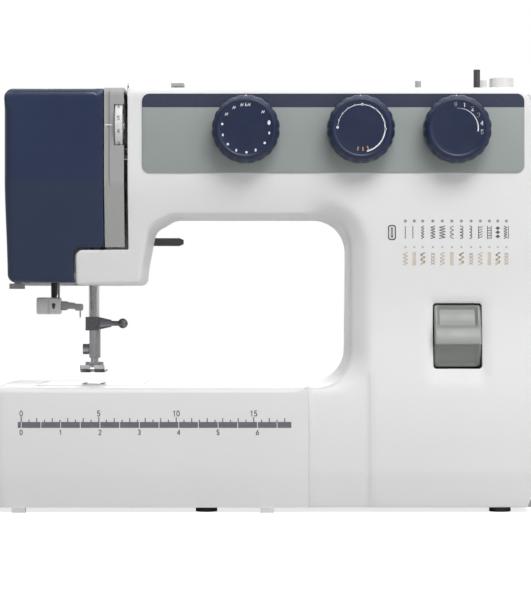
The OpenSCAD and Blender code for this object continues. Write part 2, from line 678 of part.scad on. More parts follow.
base_plate();
rubber_feet();
front_cover();
rear_cover();
side_cover();
free_arm_shell();
needle_plate();
control_panel();
thread_channel();
machine_frame();
shaft_bushings();
drive_motor();
drive_belt();
timing_belt();
power_inlet();
lamp_bulb();
lamp_socket();
shuttle_race();
top_thread_guide();
winder_stop();
cover_screws();
tension_discs();
bobbin_case();
bobbin();
face_cover();
selector_dial();
length_dial();
width_dial();
tension_dial();
reverse_lever();
needle_bar();
needle_clamp();
needle_clamp_screw();
needle();
take_up_lever();
shuttle_hook();
lower_shaft();
feed_dog();
presser_lifter();
presser_bar();
presser_spring();
foot_holder();
foot_screw();
presser_foot();
threader();
buttonhole_lever();
hook_cover();
extension_table();
table_feet();
handwheel();
upper_shaft();
motor_pulley();
cam_stack();
winder_arm();
winder_spindle();
winder_wheel();
spool_pin();
carry_handle();
power_switch();
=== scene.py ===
import bpy, bmesh, math, json
import numpy as np
from mathutils import Vector, Matrix
from mathutils.geometry import delaunay_2d_cdt

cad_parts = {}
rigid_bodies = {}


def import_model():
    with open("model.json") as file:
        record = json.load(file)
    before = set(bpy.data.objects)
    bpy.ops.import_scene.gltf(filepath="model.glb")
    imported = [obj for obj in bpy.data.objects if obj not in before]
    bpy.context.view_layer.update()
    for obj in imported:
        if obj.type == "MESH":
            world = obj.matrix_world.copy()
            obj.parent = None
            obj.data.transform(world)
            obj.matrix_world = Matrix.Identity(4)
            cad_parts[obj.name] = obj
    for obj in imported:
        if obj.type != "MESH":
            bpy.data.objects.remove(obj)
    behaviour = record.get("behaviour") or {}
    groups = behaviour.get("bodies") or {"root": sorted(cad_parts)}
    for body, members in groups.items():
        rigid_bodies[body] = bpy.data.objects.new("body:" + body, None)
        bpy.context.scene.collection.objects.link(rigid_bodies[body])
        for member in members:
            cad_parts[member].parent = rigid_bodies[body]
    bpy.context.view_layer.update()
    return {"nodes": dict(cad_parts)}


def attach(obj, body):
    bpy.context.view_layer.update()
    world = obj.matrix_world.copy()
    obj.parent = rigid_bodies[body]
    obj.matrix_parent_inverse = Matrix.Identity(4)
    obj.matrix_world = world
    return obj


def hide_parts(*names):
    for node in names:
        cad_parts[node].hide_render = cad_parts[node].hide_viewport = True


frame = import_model()
NODES = frame["nodes"]
MM = 0.001
scene = bpy.context.scene


# ------------------------------------------------------------------ materials
def mat_new(name):
    m = bpy.data.materials.new(name)
    m.use_nodes = True
    nt = m.node_tree
    nt.nodes.clear()
    out = nt.nodes.new("ShaderNodeOutputMaterial")
    bs = nt.nodes.new("ShaderNodeBsdfPrincipled")
    nt.links.new(bs.outputs["BSDF"], out.inputs["Surface"])
    return m, nt, bs


def noise(nt, vec, scale, detail=3.0, rough=0.5):
    n = nt.nodes.new("ShaderNodeTexNoise")
    n.inputs["Scale"].default_value = scale
    n.inputs["Detail"].default_value = detail
    n.inputs["Roughness"].default_value = rough
    nt.links.new(vec, n.inputs["Vector"])
    return n.outputs["Fac"]


def remap(nt, src, a, b, lo=0.3, hi=0.7):
    n = nt.nodes.new("ShaderNodeMapRange")
    n.inputs["From Min"].default_value = lo
    n.inputs["From Max"].default_value = hi
    n.inputs["To Min"].default_value = a
    n.inputs["To Max"].default_value = b
    nt.links.new(src, n.inputs["Value"])
    return n.outputs["Result"]


def mixc(nt, fac, a, b):
    n = nt.nodes.new("ShaderNodeMix")
    n.data_type = "RGBA"
    nt.links.new(fac, n.inputs[0])
    for s, v in ((n.inputs[6], a), (n.inputs[7], b)):
        if isinstance(v, (tuple, list)):
            s.default_value = (v[0], v[1], v[2], 1)
        else:
            nt.links.new(v, s)
    return n.outputs[2]


def bump(nt, bs, src, strength, dist, prev=None):
    b = nt.nodes.new("ShaderNodeBump")
    b.inputs["Strength"].default_value = strength
    b.inputs["Distance"].default_value = dist
    nt.links.new(src, b.inputs["Height"])
    if prev is not None:
        nt.links.new(prev, b.inputs["Normal"])
    nt.links.new(b.outputs["Normal"], bs.inputs["Normal"])
    return b.outputs["Normal"]


def plastic(name, col, rough=0.38, var=0.05, grain=900.0, gstr=0.12, coat=0.0, wear=0.06, spec=0.5):
    """Moulded plastic: faint mottling, fine mould grain, uneven gloss, edges rubbed a little lighter."""
    m, nt, bs = mat_new(name)
    tc = nt.nodes.new("ShaderNodeTexCoord")
    v = tc.outputs["Object"]
    big = noise(nt, v, 9.0, 4.0)
    mid = noise(nt, v, 130.0, 3.0)
    fine = noise(nt, v, grain, 2.0, 0.6)
    d = tuple(c * (1 - var) for c in col)
    l = tuple(min(1, c * (1 + var * 0.6) + 0.002) for c in col)
    c1 = mixc(nt, remap(nt, big, 0, 1), d, l)
    geo = nt.nodes.new("ShaderNodeNewGeometry")
    edge = remap(nt, geo.outputs["Pointiness"], 0, wear, 0.53, 0.62)
    w = tuple(min(1, c * 0.6 + 0.4) for c in col)
    c2 = mixc(nt, edge, c1, w)
    nt.links.new(c2, bs.inputs["Base Color"])
    r = remap(nt, mid, rough * 0.86, rough * 1.14)
    nt.links.new(r, bs.inputs["Roughness"])
    bs.inputs["Specular IOR Level"].default_value = spec
    if coat:
        bs.inputs["Coat Weight"].default_value = coat
        bs.inputs["Coat Roughness"].default_value = 0.12
    b1 = bump(nt, bs, fine, gstr, 0.00012)
    bump(nt, bs, mid, gstr * 0.35, 0.0003, b1)
    return m


def metal(name, col, rough=0.25, brushed=None, var=0.08, bstr=0.15):
    """Metal: brushed along one axis or lightly hazed, with small colour and gloss changes."""
    m, nt, bs = mat_new(name)
    tc = nt.nodes.new("ShaderNodeTexCoord")
    v = tc.outputs["Object"]
    mp = nt.nodes.new("ShaderNodeMapping")
    nt.links.new(v, mp.inputs["Vector"])
    if brushed == "x":
        mp.inputs["Scale"].default_value = (0.03, 1, 1)
    elif brushed == "y":
        mp.inputs["Scale"].default_value = (1, 0.03, 1)
    elif brushed == "z":
        mp.inputs["Scale"].default_value = (1, 1, 0.03)
    s = noise(nt, mp.outputs["Vector"], 2200.0 if brushed else 600.0, 3.0)
    big = noise(nt, v, 45.0, 3.0)
    c = mixc(nt, remap(nt, big, 0, 1), tuple(x * (1 - var) for x in col), tuple(min(1, x * (1 + var * 0.5)) for x in col))
    nt.links.new(c, bs.inputs["Base Color"])
    bs.inputs["Metallic"].default_value = 1.0
    nt.links.new(remap(nt, s, rough * 0.75, rough * 1.3), bs.inputs["Roughness"])
    bump(nt, bs, s, bstr, 0.00006)
    return m


def rubber(name, col):
    m, nt, bs = mat_new(name)
    tc = nt.nodes.new("ShaderNodeTexCoord")
    v = tc.outputs["Object"]
    a = noise(nt, v, 60.0, 4.0)
    f = noise(nt, v, 1500.0, 3.0)
    nt.links.new(mixc(nt, remap(nt, a, 0, 1), tuple(x * 0.8 for x in col), tuple(x * 1.35 + 0.004 for x in col)), bs.inputs["Base Color"])
    nt.links.new(remap(nt, a, 0.62, 0.82), bs.inputs["Roughness"])
    bump(nt, bs, f, 0.3, 0.00015)
    return m


def ink(name, col):
    """Printed ink: slightly uneven and satin."""
    m, nt, bs = mat_new(name)
    tc = nt.nodes.new("ShaderNodeTexCoord")
    v = tc.outputs["Object"]
    a = noise(nt, v, 700.0, 3.0)
    nt.links.new(mixc(nt, remap(nt, a, 0, 1), tuple(x * 0.9 for x in col), tuple(min(1, x * 1.08 + 0.003) for x in col)), bs.inputs["Base Color"])
    nt.links.new(remap(nt, a, 0.42, 0.58), bs.inputs["Roughness"])
    bump(nt, bs, a, 0.08, 0.00005)
    return m


def glass(name):
    m, nt, bs = mat_new(name)
    tc = nt.nodes.new("ShaderNodeTexCoord")
    a = noise(nt, tc.outputs["Object"], 80.0, 2.0)
    nt.links.new(mixc(nt, remap(nt, a, 0, 1), (0.93, 0.9, 0.82), (0.98, 0.96, 0.9)), bs.inputs["Base Color"])
    nt.links.new(remap(nt, a, 0.16, 0.26), bs.inputs["Roughness"])
    bs.inputs["Transmission Weight"].default_value = 0.35
    bump(nt, bs, a, 0.05, 0.0002)
    return m


def srgb(*c):
    return tuple(((x / 255) / 12.92 if x / 255 <= 0.04045 else ((x / 255 + 0.055) / 1.055) ** 2.4) for x in c)


M = {
    "white": plastic("white_plastic", (0.80, 0.80, 0.795), 0.42, 0.018, 1100, 0.10, wear=0.0),
    "white2": plastic("white_plastic_small", (0.74, 0.74, 0.73), 0.4, 0.03, 1300, 0.10, wear=0.0),
    "navy": plastic("navy_plastic", (0.020, 0.0335, 0.078), 0.34, 0.08, 1000, 0.07, coat=0.0, wear=0.02, spec=0.4),
    "knob": plastic("navy_knob", (0.0125, 0.022, 0.062), 0.40, 0.10, 1200, 0.10, wear=0.03, spec=0.42),
    "band": ink("navy_band", (0.030, 0.040, 0.078)),
    "grey": plastic("grey_plastic", (0.37, 0.375, 0.365), 0.46, 0.05, 900, 0.16, wear=0.03),
    "panel": plastic("panel_grey", (0.32, 0.355, 0.345), 0.42, 0.04, 1500, 0.10, wear=0.02),
    "lever": plastic("lever_grey", (0.29, 0.305, 0.29), 0.40, 0.06, 900, 0.16, wear=0.05),
    "dark": plastic("dark_plastic", (0.055, 0.055, 0.062), 0.42, 0.12, 900, 0.16, wear=0.05),
    "gap": plastic("shadow_gap", (0.012, 0.012, 0.014), 0.7, 0.1, 900, 0.1, wear=0.0),
    "steel": metal("steel", (0.50, 0.50, 0.51), 0.30, "z"),
    "steelx": metal("steel_turned", (0.50, 0.50, 0.52), 0.28, "x"),
    "plate": metal("plate_steel", (0.58, 0.58, 0.58), 0.30, "x"),
    "darksteel": metal("dark_steel", (0.20, 0.20, 0.215), 0.34, None),
    "satin": metal("satin_steel", (0.52, 0.525, 0.54), 0.36, None, 0.06, 0.1),
    "chrome": metal("polished_steel", (0.66, 0.66, 0.68), 0.14, None, 0.05, 0.05),
    "alu": metal("cast_aluminium", (0.46, 0.47, 0.48), 0.48, None, 0.12, 0.5),
    "bronze": metal("bronze", (0.50, 0.33, 0.14), 0.36, "x"),
    "rubber": rubber("black_rubber", (0.02, 0.02, 0.021)),
    "foot": rubber("grey_rubber", (0.055, 0.055, 0.058)),
    "ink_dark": ink("ink_dark", (0.10, 0.105, 0.12)),
    "ink_rule": ink("ink_rule", (0.15, 0.155, 0.18)),
    "ink_faint": ink("ink_faint", (0.46, 0.47, 0.47)),
    "ink_mid": ink("ink_mid", (0.30, 0.31, 0.32)),
    "ink_white": ink("ink_white", (0.78, 0.80, 0.83)),
    "ink_soft": ink("ink_soft", (0.20, 0.24, 0.32)),
    "ink_orange": ink("ink_orange", (0.60, 0.36, 0.13)),
    "ink_pale": ink("ink_pale", (0.62, 0.52, 0.40)),
    "glass": glass("lamp_glass"),
    "cam": plastic("cam_nylon", (0.66, 0.65, 0.60), 0.45, 0.05, 900, 0.12, wear=0.0),
}


# ------------------------------------------------------------------ mesh helpers
def make(name, verts, faces, mat, body, smooth=35, mm=True, merge=0.0):
    me = bpy.data.meshes.new(name)
    v = np.asarray(verts, float) * (MM if mm else 1.0)
    me.from_pydata([tuple(p) for p in v], [], [tuple(int(i) for i in f) for f in faces])
    bm = bmesh.new()
    bm.from_mesh(me)
    if merge:
        bmesh.ops.remove_doubles(bm, verts=bm.verts, dist=merge * MM)
    bmesh.ops.recalc_face_normals(bm, faces=bm.faces)
    bm.to_mesh(me)
    bm.free()
    me.validate()
    o = bpy.data.objects.new(name, me)
    scene.collection.objects.link(o)
    me.materials.append(mat)
    finish_shade(o, smooth)
    if body:
        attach(o, body)
    return o


def finish_shade(o, smooth):
    me = o.data
    me.polygons.foreach_set("use_smooth", [True] * len(me.polygons))
    if smooth is not None and smooth < 179:
        me.set_sharp_from_angle(angle=math.radians(smooth))


def apply_mods(o):
    dg = bpy.context.evaluated_depsgraph_get()
    dg.update()
    me = bpy.data.meshes.new_from_object(o.evaluated_get(dg))
    old = o.data
    o.modifiers.clear()
    o.data = me
    bpy.data.meshes.remove(old)
    return o


def close_pinholes(o, sides=9):
    """Fill any single missing facet that the triangulation leaves."""
    bm = bmesh.new()
    bm.from_mesh(o.data)
    bmesh.ops.remove_doubles(bm, verts=bm.verts, dist=0.004 * MM)
    bd = [e for e in bm.edges if e.is_boundary]
    bmesh.ops.holes_fill(bm, edges=bd, sides=sides)
    bmesh.ops.recalc_face_normals(bm, faces=bm.faces)
    bm.to_mesh(o.data)
    bm.free()


def solidify(o, t, smooth=35, even=False):
    close_pinholes(o)
    m = o.modifiers.new("s", "SOLIDIFY")
    m.thickness = t * MM
    m.offset = -1
    m.use_even_offset = even
    apply_mods(o)
    finish_shade(o, smooth)
    return o


def bevel(o, w, seg=2, angle=35, smooth=40, apply=True):
    m = o.modifiers.new("b", "BEVEL")
    m.width = w * MM
    m.segments = seg
    m.limit_method = "ANGLE"
    m.angle_limit = math.radians(angle)
    m.harden_normals = False
    if apply:
        apply_mods(o)
        finish_shade(o, smooth)
    return o


def cut(o, cutter, smooth=35):
    m = o.modifiers.new("c", "BOOLEAN")
    m.operation = "DIFFERENCE"
    m.solver = "EXACT"
    m.object = cutter
    apply_mods(o)
    bpy.data.objects.remove(cutter)
    finish_shade(o, smooth)
    return o


def join(objs, name=None):
    """Merge several unparented mesh objects into the first one."""
    base = objs[0]
    me = bpy.data.meshes.new(name or base.name)
    bm = bmesh.new()
    mats = []
    for o in objs:
        start = len(bm.faces)
        bm.from_mesh(o.data)
        bm.faces.ensure_lookup_table()
        mp = []
        for mt in o.data.materials:
            if mt not in mats:
                mats.append(mt)
            mp.append(mats.index(mt))
        for f in bm.faces[start:]:
            f.material_index = mp[min(f.material_index, len(mp) - 1)] if mp else 0
    bm.to_mesh(me)
    bm.free()
    for mt in mats:
        me.materials.append(mt)
    par = base.parent
    base.data = me
    for o in objs[1:]:
        bpy.data.objects.remove(o)
    if name:
        base.name = name
    return base


def densify(corners, step=5.0, n=8):
    """corners: [u, v, radius, rim]; counter-clockwise. Returns points, rim radius at each."""
    P, R = [], []
    m = len(corners)
    segs = []
    for i in range(m):
        a, b, c = (np.array(corners[(i + k) % m][:2], float) for k in (-1, 0, 1))
        r, rim = corners[i][2], corners[i][3]
        if r < 0.01:
            segs.append([(b, rim)])
            continue
        u = (a - b) / np.linalg.norm(a - b)
        v = (c - b) / np.linalg.norm(c - b)
        ang = math.acos(max(-1, min(1, float(u @ v))))
        d = r / math.tan(ang / 2)
        s, e = b + u * d, b + v * d
        bis = (u + v) / np.linalg.norm(u + v)
        o = b + bis * (r / math.sin(ang / 2))
        a0 = math.atan2(*(s - o)[::-1])
        a1 = math.atan2(*(e - o)[::-1])
        dd = (a1 - a0 + math.pi) % (2 * math.pi) - math.pi
        k = max(3, int(round(n * abs(dd) / (math.pi / 2) * max(1, r / 14))))
        segs.append([(o + r * np.array([math.cos(a0 + dd * j / k), math.sin(a0 + dd * j / k)]), rim) for j in range(k + 1)])
    for i in range(m):
        P += [q[0] for q in segs[i]]
        R += [q[1] for q in segs[i]]
        p, ra = segs[i][-1]
        q, rb = segs[(i + 1) % m][0]
        L = np.linalg.norm(q - p)
        k = int(L // step)
        for j in range(1, k + 1):
            t = j / (k + 1)
            P.append(p + (q - p) * t)
            R.append(ra + (rb - ra) * t)
    return np.array(P), np.array(R)


def inward(P):
    e = np.roll(P, -1, 0) - P
    e /= np.maximum(np.linalg.norm(e, axis=1, keepdims=True), 1e-9)
    n = np.stack([-e[:, 1], e[:, 0]], 1)
    n0 = np.roll(n, 1, 0)
    s = n + n0
    den = 1 + (n * n0).sum(1)
    return s / np.maximum(den, 0.3)[:, None]


def inside(P, q):
    x, y = q[:, 0], q[:, 1]
    c = np.zeros(len(q), bool)
    j = len(P) - 1
    for i in range(len(P)):
        xi, yi = P[i]
        xj, yj = P[j]
        k = ((yi > y) != (yj > y)) & (x < (xj - xi) * (y - yi) / (yj - yi + 1e-12) + xi)
        c ^= k
        j = i
    return c


def seg_dist(P, q):
    d = np.full(len(q), 1e9)
    for i in range(len(P)):
        a, b = P[i], P[(i + 1) % len(P)]
        ab = b - a
        L = ab @ ab
        t = np.clip(((q - a) @ ab) / max(L, 1e-9), 0, 1)
        d = np.minimum(d, np.linalg.norm(q - (a + t[:, None] * ab), axis=1))
    return d


def cap_shell(corners, f, back, mapf, step=4.0, K=5, holes=(), extra=(), edge_step=5.0, wallseg=2, n=8, open_edge=None, wallgap=0.0):
    """A moulded cover as one skin: face at depth f(u, v), rounded rim, side walls down to depth `back`.
    holes: (corners, rim, depth). extra: list of (N, 2) polylines the face mesh must follow."""
    V, F = [], []

    def add(pts, w):
        i0 = len(V)
        for p, ww in zip(pts, w):
            V.append((p[0], p[1], ww))
        return list(range(i0, i0 + len(pts)))

    def strip(a, b):
        m = len(a)
        for i in range(m):
            j = (i + 1) % m
            F.append((a[i], a[j], b[j], b[i]))

    P, R = densify(corners, edge_step, n)
    N = inward(P)
    loops = []
    ring0 = P + N * R[:, None]
    idx0 = add(ring0, f(ring0))
    loops.append((ring0, idx0))
    prev = idx0
    for k in range(1, K + 1):
        t = math.pi / 2 * k / K
        q = P + N * (R * (1 - math.sin(t)))[:, None]
        idx = add(q, f(q) + R * (1 - math.cos(t)))
        strip(idx, prev)
        prev = idx
    w1 = f(P) + R
    bk = back(P) if callable(back) else np.full(len(P), float(back))
    if isinstance(wallseg, int):
        levels = [w1 + (bk - w1) * k / wallseg for k in range(1, wallseg + 1)]
    else:
        levels = [np.maximum(w1 + 0.05 * (i + 1), np.minimum(bk - wallgap * (len(wallseg) - i), wl)) for i, wl in enumerate(wallseg)] + [bk]
    for wl in levels:
        idx = add(P, wl)
        strip(idx, prev)
        prev = idx
    hp = []
    for hc, rim, depth in holes:
        H, HR = densify([[c[0], c[1], c[2], rim] for c in hc], min(edge_step, 3.0), n)
        HN = -inward(H)
        r0 = H + HN * rim
        i0 = add(r0, f(r0))
        loops.append((r0, i0))
        hp.append(r0)
        pv = i0
        kk = 3
        for k in range(1, kk + 1):
            t = math.pi / 2 * k / kk
            q = H + HN * (rim * (1 - math.sin(t)))
            ix = add(q, f(q) + rim * (1 - math.cos(t)))
            strip(pv, ix)
            pv = ix
        if depth:
            ix = add(H, f(H) + depth)
            strip(pv, ix)
    # interior points on a staggered grid
    lo, hi = ring0.min(0), ring0.max(0)
    g = []
    rows = int((hi[1] - lo[1]) / (step * 0.866)) + 1
    for r in range(rows + 1):
        y = lo[1] + r * step * 0.866
        x0 = lo[0] + (0.5 * step if r % 2 else 0)
        g += [(x, y) for x in np.arange(x0, hi[0], step)]
    g = np.array(g)
    ok = inside(ring0, g)
    g = g[ok]
    g = g[seg_dist(ring0, g) > step * 0.55]
    for h in hp:
        g = g[~inside(h, g)]
        g = g[seg_dist(h, g) > step * 0.5]
    for ex in extra:
        ex = np.asarray(ex, float)
        if len(g):
            dd = np.full(len(g), 1e9)
            for a, b in zip(ex[:-1], ex[1:]):
                ab = b - a
                t = np.clip(((g - a) @ ab) / max(ab @ ab, 1e-9), 0, 1)
                dd = np.minimum(dd, np.linalg.norm(g - (a + t[:, None] * ab), axis=1))
            g = g[dd > step * 0.4]
    pts, edges, ids = [], [], []
    for lp, ix in loops:
        s = len(pts)
        pts += [tuple(p) for p in lp]
        ids += ix
        edges += [(s + i, s + (i + 1) % len(lp)) for i in range(len(lp))]
    for ex in extra:
        ex = [p for p in np.asarray(ex, float)]
        ex = np.array(ex)
        keep = inside(ring0, ex) & (seg_dist(ring0, ex) > 0.4)
        for h in hp:
            keep &= ~inside(h, ex) & (seg_dist(h, ex) > 0.4)
        s = len(pts)
        run = []
        for p, kf in zip(ex, keep):
            if kf:
                pts.append(tuple(p))
                ids.append(None)
                if run:
                    edges.append((len(pts) - 2, len(pts) - 1))
                run = [1]
            else:
                run = []
    pts += [tuple(p) for p in g]
    ids += [None] * len(g)
    co, ed, fa, ov, oe, of_ = delaunay_2d_cdt([Vector(p) for p in pts], edges, [], 0, 1e-6)
    co = np.array([tuple(c) for c in co])
    gid = []
    for k, c in enumerate(co):
        src = [i for i in ov[k] if i < len(ids) and ids[i] is not None]
        if src:
            gid.append(ids[src[0]])
        else:
            V.append((c[0], c[1], None))
            gid.append(len(V) - 1)
    tri = np.array([list(t) for t in fa if len(t) == 3])
    cen = co[tri].mean(1)
    ok = inside(ring0, cen)
    for h in hp:
        ok &= ~inside(h, cen)
    a_, b_, c_ = co[tri[:, 0]], co[tri[:, 1]], co[tri[:, 2]]
    area2 = np.abs((b_[:, 0] - a_[:, 0]) * (c_[:, 1] - a_[:, 1]) - (b_[:, 1] - a_[:, 1]) * (c_[:, 0] - a_[:, 0]))
    long_ = np.maximum(np.maximum(np.linalg.norm(b_ - a_, axis=1), np.linalg.norm(c_ - b_, axis=1)), np.linalg.norm(a_ - c_, axis=1))
    ok &= area2 / np.maximum(long_, 1e-9) > 0.004
    for t in tri[ok]:
        F.append(tuple(gid[i] for i in t))
    miss = [i for i, v in enumerate(V) if v[2] is None]
    if miss:
        q = np.array([V[i][:2] for i in miss])
        w = f(q)
        for i, ww in zip(miss, w):
            V[i] = (V[i][0], V[i][1], ww)
    A = np.array(V, float)
    return mapf(A[:, 0], A[:, 1], A[:, 2]), F


def front_map(u, v, w):
    return np.stack([u, w, v], 1)


def rear_map(u, v, w):      # u runs to the left seen from the back: mirrored x
    return np.stack([-u, w, v], 1)


def sm(x, a, b):
    t = np.clip((x - a) / (b - a), 0, 1)
    return t * t * (3 - 2 * t)


def smax(a, b, k):
    """Smooth maximum with blend width k."""
    h = np.clip(0.5 + 0.5 * (a - b) / k, 0, 1)
    return b + (a - b) * h + k * h * (1 - h)


def lathe(name, prof, seg, mat, body, origin, axis="z", smooth=35, mod=None, closed=True):
    """Turned piece. prof: (radius, height) list. mod(r, h, angle) may change the radius."""
    V, F = [], []
    n = len(prof)
    for k in range(seg):
        a = 2 * math.pi * k / seg
        for r, h in prof:
            rr = mod(r, h, a) if mod else r
            V.append((rr * math.cos(a), rr * math.sin(a), h))
    for k in range(seg):
        q = (k + 1) % seg
        for i in range(n - 1):
            F.append((k * n + i, q * n + i, q * n + i + 1, k * n + i + 1))
    for i, rev in ((0, True), (n - 1, False)):
        if prof[i][0] > 1e-6 and closed:
            ring = [k * n + i for k in range(seg)]
            F.append(tuple(reversed(ring)) if rev else tuple(ring))
    V = np.array(V)
    if axis == "-y":      # height grows towards -Y
        V = np.stack([V[:, 0], -V[:, 2], V[:, 1]], 1)
    elif axis == "x":
        V = np.stack([V[:, 2], V[:, 0], V[:, 1]], 1)
    elif axis == "y":
        V = np.stack([V[:, 0], V[:, 2], V[:, 1]], 1)
    V = V + np.array(origin)
    return make(name, V, F, mat, body, smooth, merge=0.002)


def prism(name, pts, d0, d1, mat, body, mapf=front_map, bev=0.0, seg=2, smooth=35):
    """Flat outline given a thickness, edges broken."""
    P = np.asarray(pts, float)
    n = len(P)
    A = mapf(P[:, 0], P[:, 1], np.full(n, float(d0)))
    B = mapf(P[:, 0], P[:, 1], np.full(n, float(d1)))
    V = np.concatenate([A, B])
    F = [tuple(range(n)), tuple(reversed(range(n, 2 * n)))]
    F += [(i, i + n, (i + 1) % n + n, (i + 1) % n) for i in range(n)]
    o = make(name, V, F, mat, None, smooth)
    if bev:
        bevel(o, bev, seg, 30, smooth)
    if body:
        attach(o, body)
    return o


def rbox(name, lo, hi, mat, body, bev=0.6, seg=2):
    lo, hi = np.array(lo, float), np.array(hi, float)
    V = [(x, y, z) for z in (lo[2], hi[2]) for y in (lo[1], hi[1]) for x in (lo[0], hi[0])]
    F = [(0, 1, 3, 2), (4, 5, 7, 6), (0, 1, 5, 4), (2, 3, 7, 6), (0, 2, 6, 4), (1, 3, 7, 5)]
    o = make(name, V, F, mat, None, 35)
    if bev:
        bevel(o, bev, seg, 30, 40)
    if body:
        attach(o, body)
    return o


def rpoly(corners, n=6):
    return densify([[c[0], c[1], c[2], 0] for c in corners], 1e9, n)[0]


def circle(cx, cy, r, n=24):
    return [(cx + r * math.cos(2 * math.pi * k / n), cy + r * math.sin(2 * math.pi * k / n)) for k in range(n)]


# ------------------------------------------------------------------ casing surfaces
TOP, UND, LOW = 276.0, 192.5, 147.3
RX, RC, RR = 163.5, 262.0, 14.0          # upper right corner: centre x, centre z, radius


def d_top(x, z):
    """Distance below the top edge, round the upper right corner."""
    d = TOP - z
    c = (x > RX) & (z > RC)
    e = RR - np.hypot(x - RX, z - RC)
    return np.where(c, e, np.where(x > RX, 99.0, d))


def roll(d, r):
    t = np.clip((r - d) / r, 0, 1)
    return r - np.sqrt(np.maximum(r * r - (r * t) ** 2, 0))


def harp_sd(x, z):
    px, pz = x + 45, z - 136.6
    qx, qz = np.abs(px) - 100 + 22, np.abs(pz) - 55.9 + 22
    return np.hypot(np.maximum(qx, 0), np.maximum(qz, 0)) + np.minimum(np.maximum(qx, qz), 0) - 22


def lean(z, k):
    return smax((214 - z) * 16 / 66.7, np.zeros_like(z), k)


def flare(z, a=132.0, b=66.0, h=12.0, k=4.0):
    r = smax((a - z) * h / (a - b), np.zeros_like(z), k)
    return h - smax(h - r, np.zeros_like(z), k)


def f_front(q):
    x, z = q[:, 0], q[:, 1]
    arm = lean(z, 3.0) * (1 - sm(x, 26, 60)) * sm(z, 96, 140)
    d = harp_sd(x, z)
    bev = 9.0 * np.clip(1 - d / 13.5, 0, 1) ** 1.25 * sm(x, 2, 42) * sm(z, 74, 104)
    a = smax(arm, bev, 1.2)
    y = -72 + a
    colm = sm(x, 18, 30)
    y = y - flare(z) * colm * (1 - np.clip(bev / 9.0, 0, 1) * 0.35)
    y = y + np.maximum((26 - z) * 2.5 / 22.7, 0) * colm
    y = y + 1.1 * (1 - sm(x, 66.6, 68.4)) * (1 - sm(z, 84, 98)) * colm
    # shallow scoop round the reverse lever
    y = y + 1.5 * sm(x, 103.5, 108.5) * (1 - sm(x, 141.0, 146.0)) * sm(z, 80.0, 92.0) * (1 - sm(z, 134.5, 139.5))
    return y + roll(d_top(x, z), 5.0)


def f_face(q):
    x, z = q[:, 0], q[:, 1]
    return -72 + lean(z, 0.9) + roll(TOP - z, 5.0)


def y_rear(x, z):
    fl = flare(z, 150.0, 60.0, 41.0, 12.0) * sm(x, 18, 40)
    y = 46 + fl - np.maximum((26 - z) * 2.0 / 22.7, 0) * sm(x, 18, 40)
    return y - roll(d_top(x, z), 12.0)


def f_rear(q):
    return -y_rear(-q[:, 0], q[:, 1])


def top_lines(x0, x1, r, k=6):
    """Lines that follow the rounded top edge at the depths of its roll."""
    out = []
    for i in range(1, k + 1):
        t = math.pi / 2 * i / k
        d = r * (1 - math.sin(t))
        if d < 0.02:
            d = 0.02
        pts = [(x, TOP - d) for x in np.arange(x0, min(x1, RX), 6.0)]
        if x1 > RX:
            for a in np.linspace(90, 10, 12):
                pts.append((RX + (RR - d) * math.cos(math.radians(a)), RC + (RR - d) * math.sin(math.radians(a))))
        else:
            pts.append((x1, TOP - d))
        out.append(np.array(pts))
    out.append(np.array([(x, TOP - r - 0.6) for x in np.arange(x0, min(x1, RX - 2), 6.0)]))
    return out


def line(x0, z0, x1, z1, step=6.0):
    n = max(2, int(math.hypot(x1 - x0, z1 - z0) / step) + 1)
    return np.stack([np.linspace(x0, x1, n), np.linspace(z0, z1, n)], 1)


# upper right corner of the front outline, cut off at the side cover
CORNER = [(RX + RR * math.cos(math.radians(a)), RC + RR * math.sin(math.radians(a))) for a in np.linspace(41.4, 90, 7)]
FRONT = [
    [-89.8, TOP, 0, 0.0], [-89.8, 262, 0, 0.6], [-89.8, 172, 0, 0.6], [-124.7, 170.3, 5, 2.0], [-124.7, LOW, 3, 2.0], [-82, LOW, 5, 3.0],
    [-80.5, 161, 10, 3.0], [-76, 184.5, 10, 3.0], [-62, UND, 10, 2.5], [55, UND, 22, 2.5], [55, 80.7, 22, 2.5],
    [28, 80.7, 0, 0.3], [28, 3.3, 0, 0.3], [169.6, 3.3, 1.5, 0.4], [173.95, 16, 0, 0.3], [173.95, 200, 0, 0.3]]
FRONT += [[x, z, 0, 0.0] for x, z in CORNER]
FRONT[3] = [-89.8, 170.3, 0.8, 0.6]
FRONT.insert(4, [-124.7, 170.3, 5, 2.0])
FRONT = [FRONT[0], FRONT[1], FRONT[3], FRONT[4]] + FRONT[5:]
wins = [([[108.9, 92.7, 2.2], [140.7, 92.7, 2.2], [140.7, 135.3, 2.2], [108.9, 135.3, 2.2]], 0.5, 6.0)]
lines = top_lines(-88, 173, 5.0)
lines += [line(-124, 214 + d, 60, 214 + d) for d in (-6, -2.5, 0, 3)]
lines += [line(29, 26.5, 172, 26.5), line(29, 25.5, 172, 25.5)]
lines += [line(66.4, 4, 66.4, 92), line(68.6, 4, 68.6, 92), line(67.5, 4, 67.5, 92)]
V, F = cap_shell(FRONT, f_front, 1.85, front_map, step=3.6, K=6, holes=wins, extra=lines, edge_step=4.0, n=9)
front = make("front_casing", V, F, M["white"], None, 38, merge=0.001)
solidify(front, 2.2, 38)
sl = rbox("slot_cut", (137.5, -32.6, 270), (149.6, -27.4, 280), M["gap"], None, 0)
cut(front, sl, 38)
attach(front, "casing")
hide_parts("front_cover")

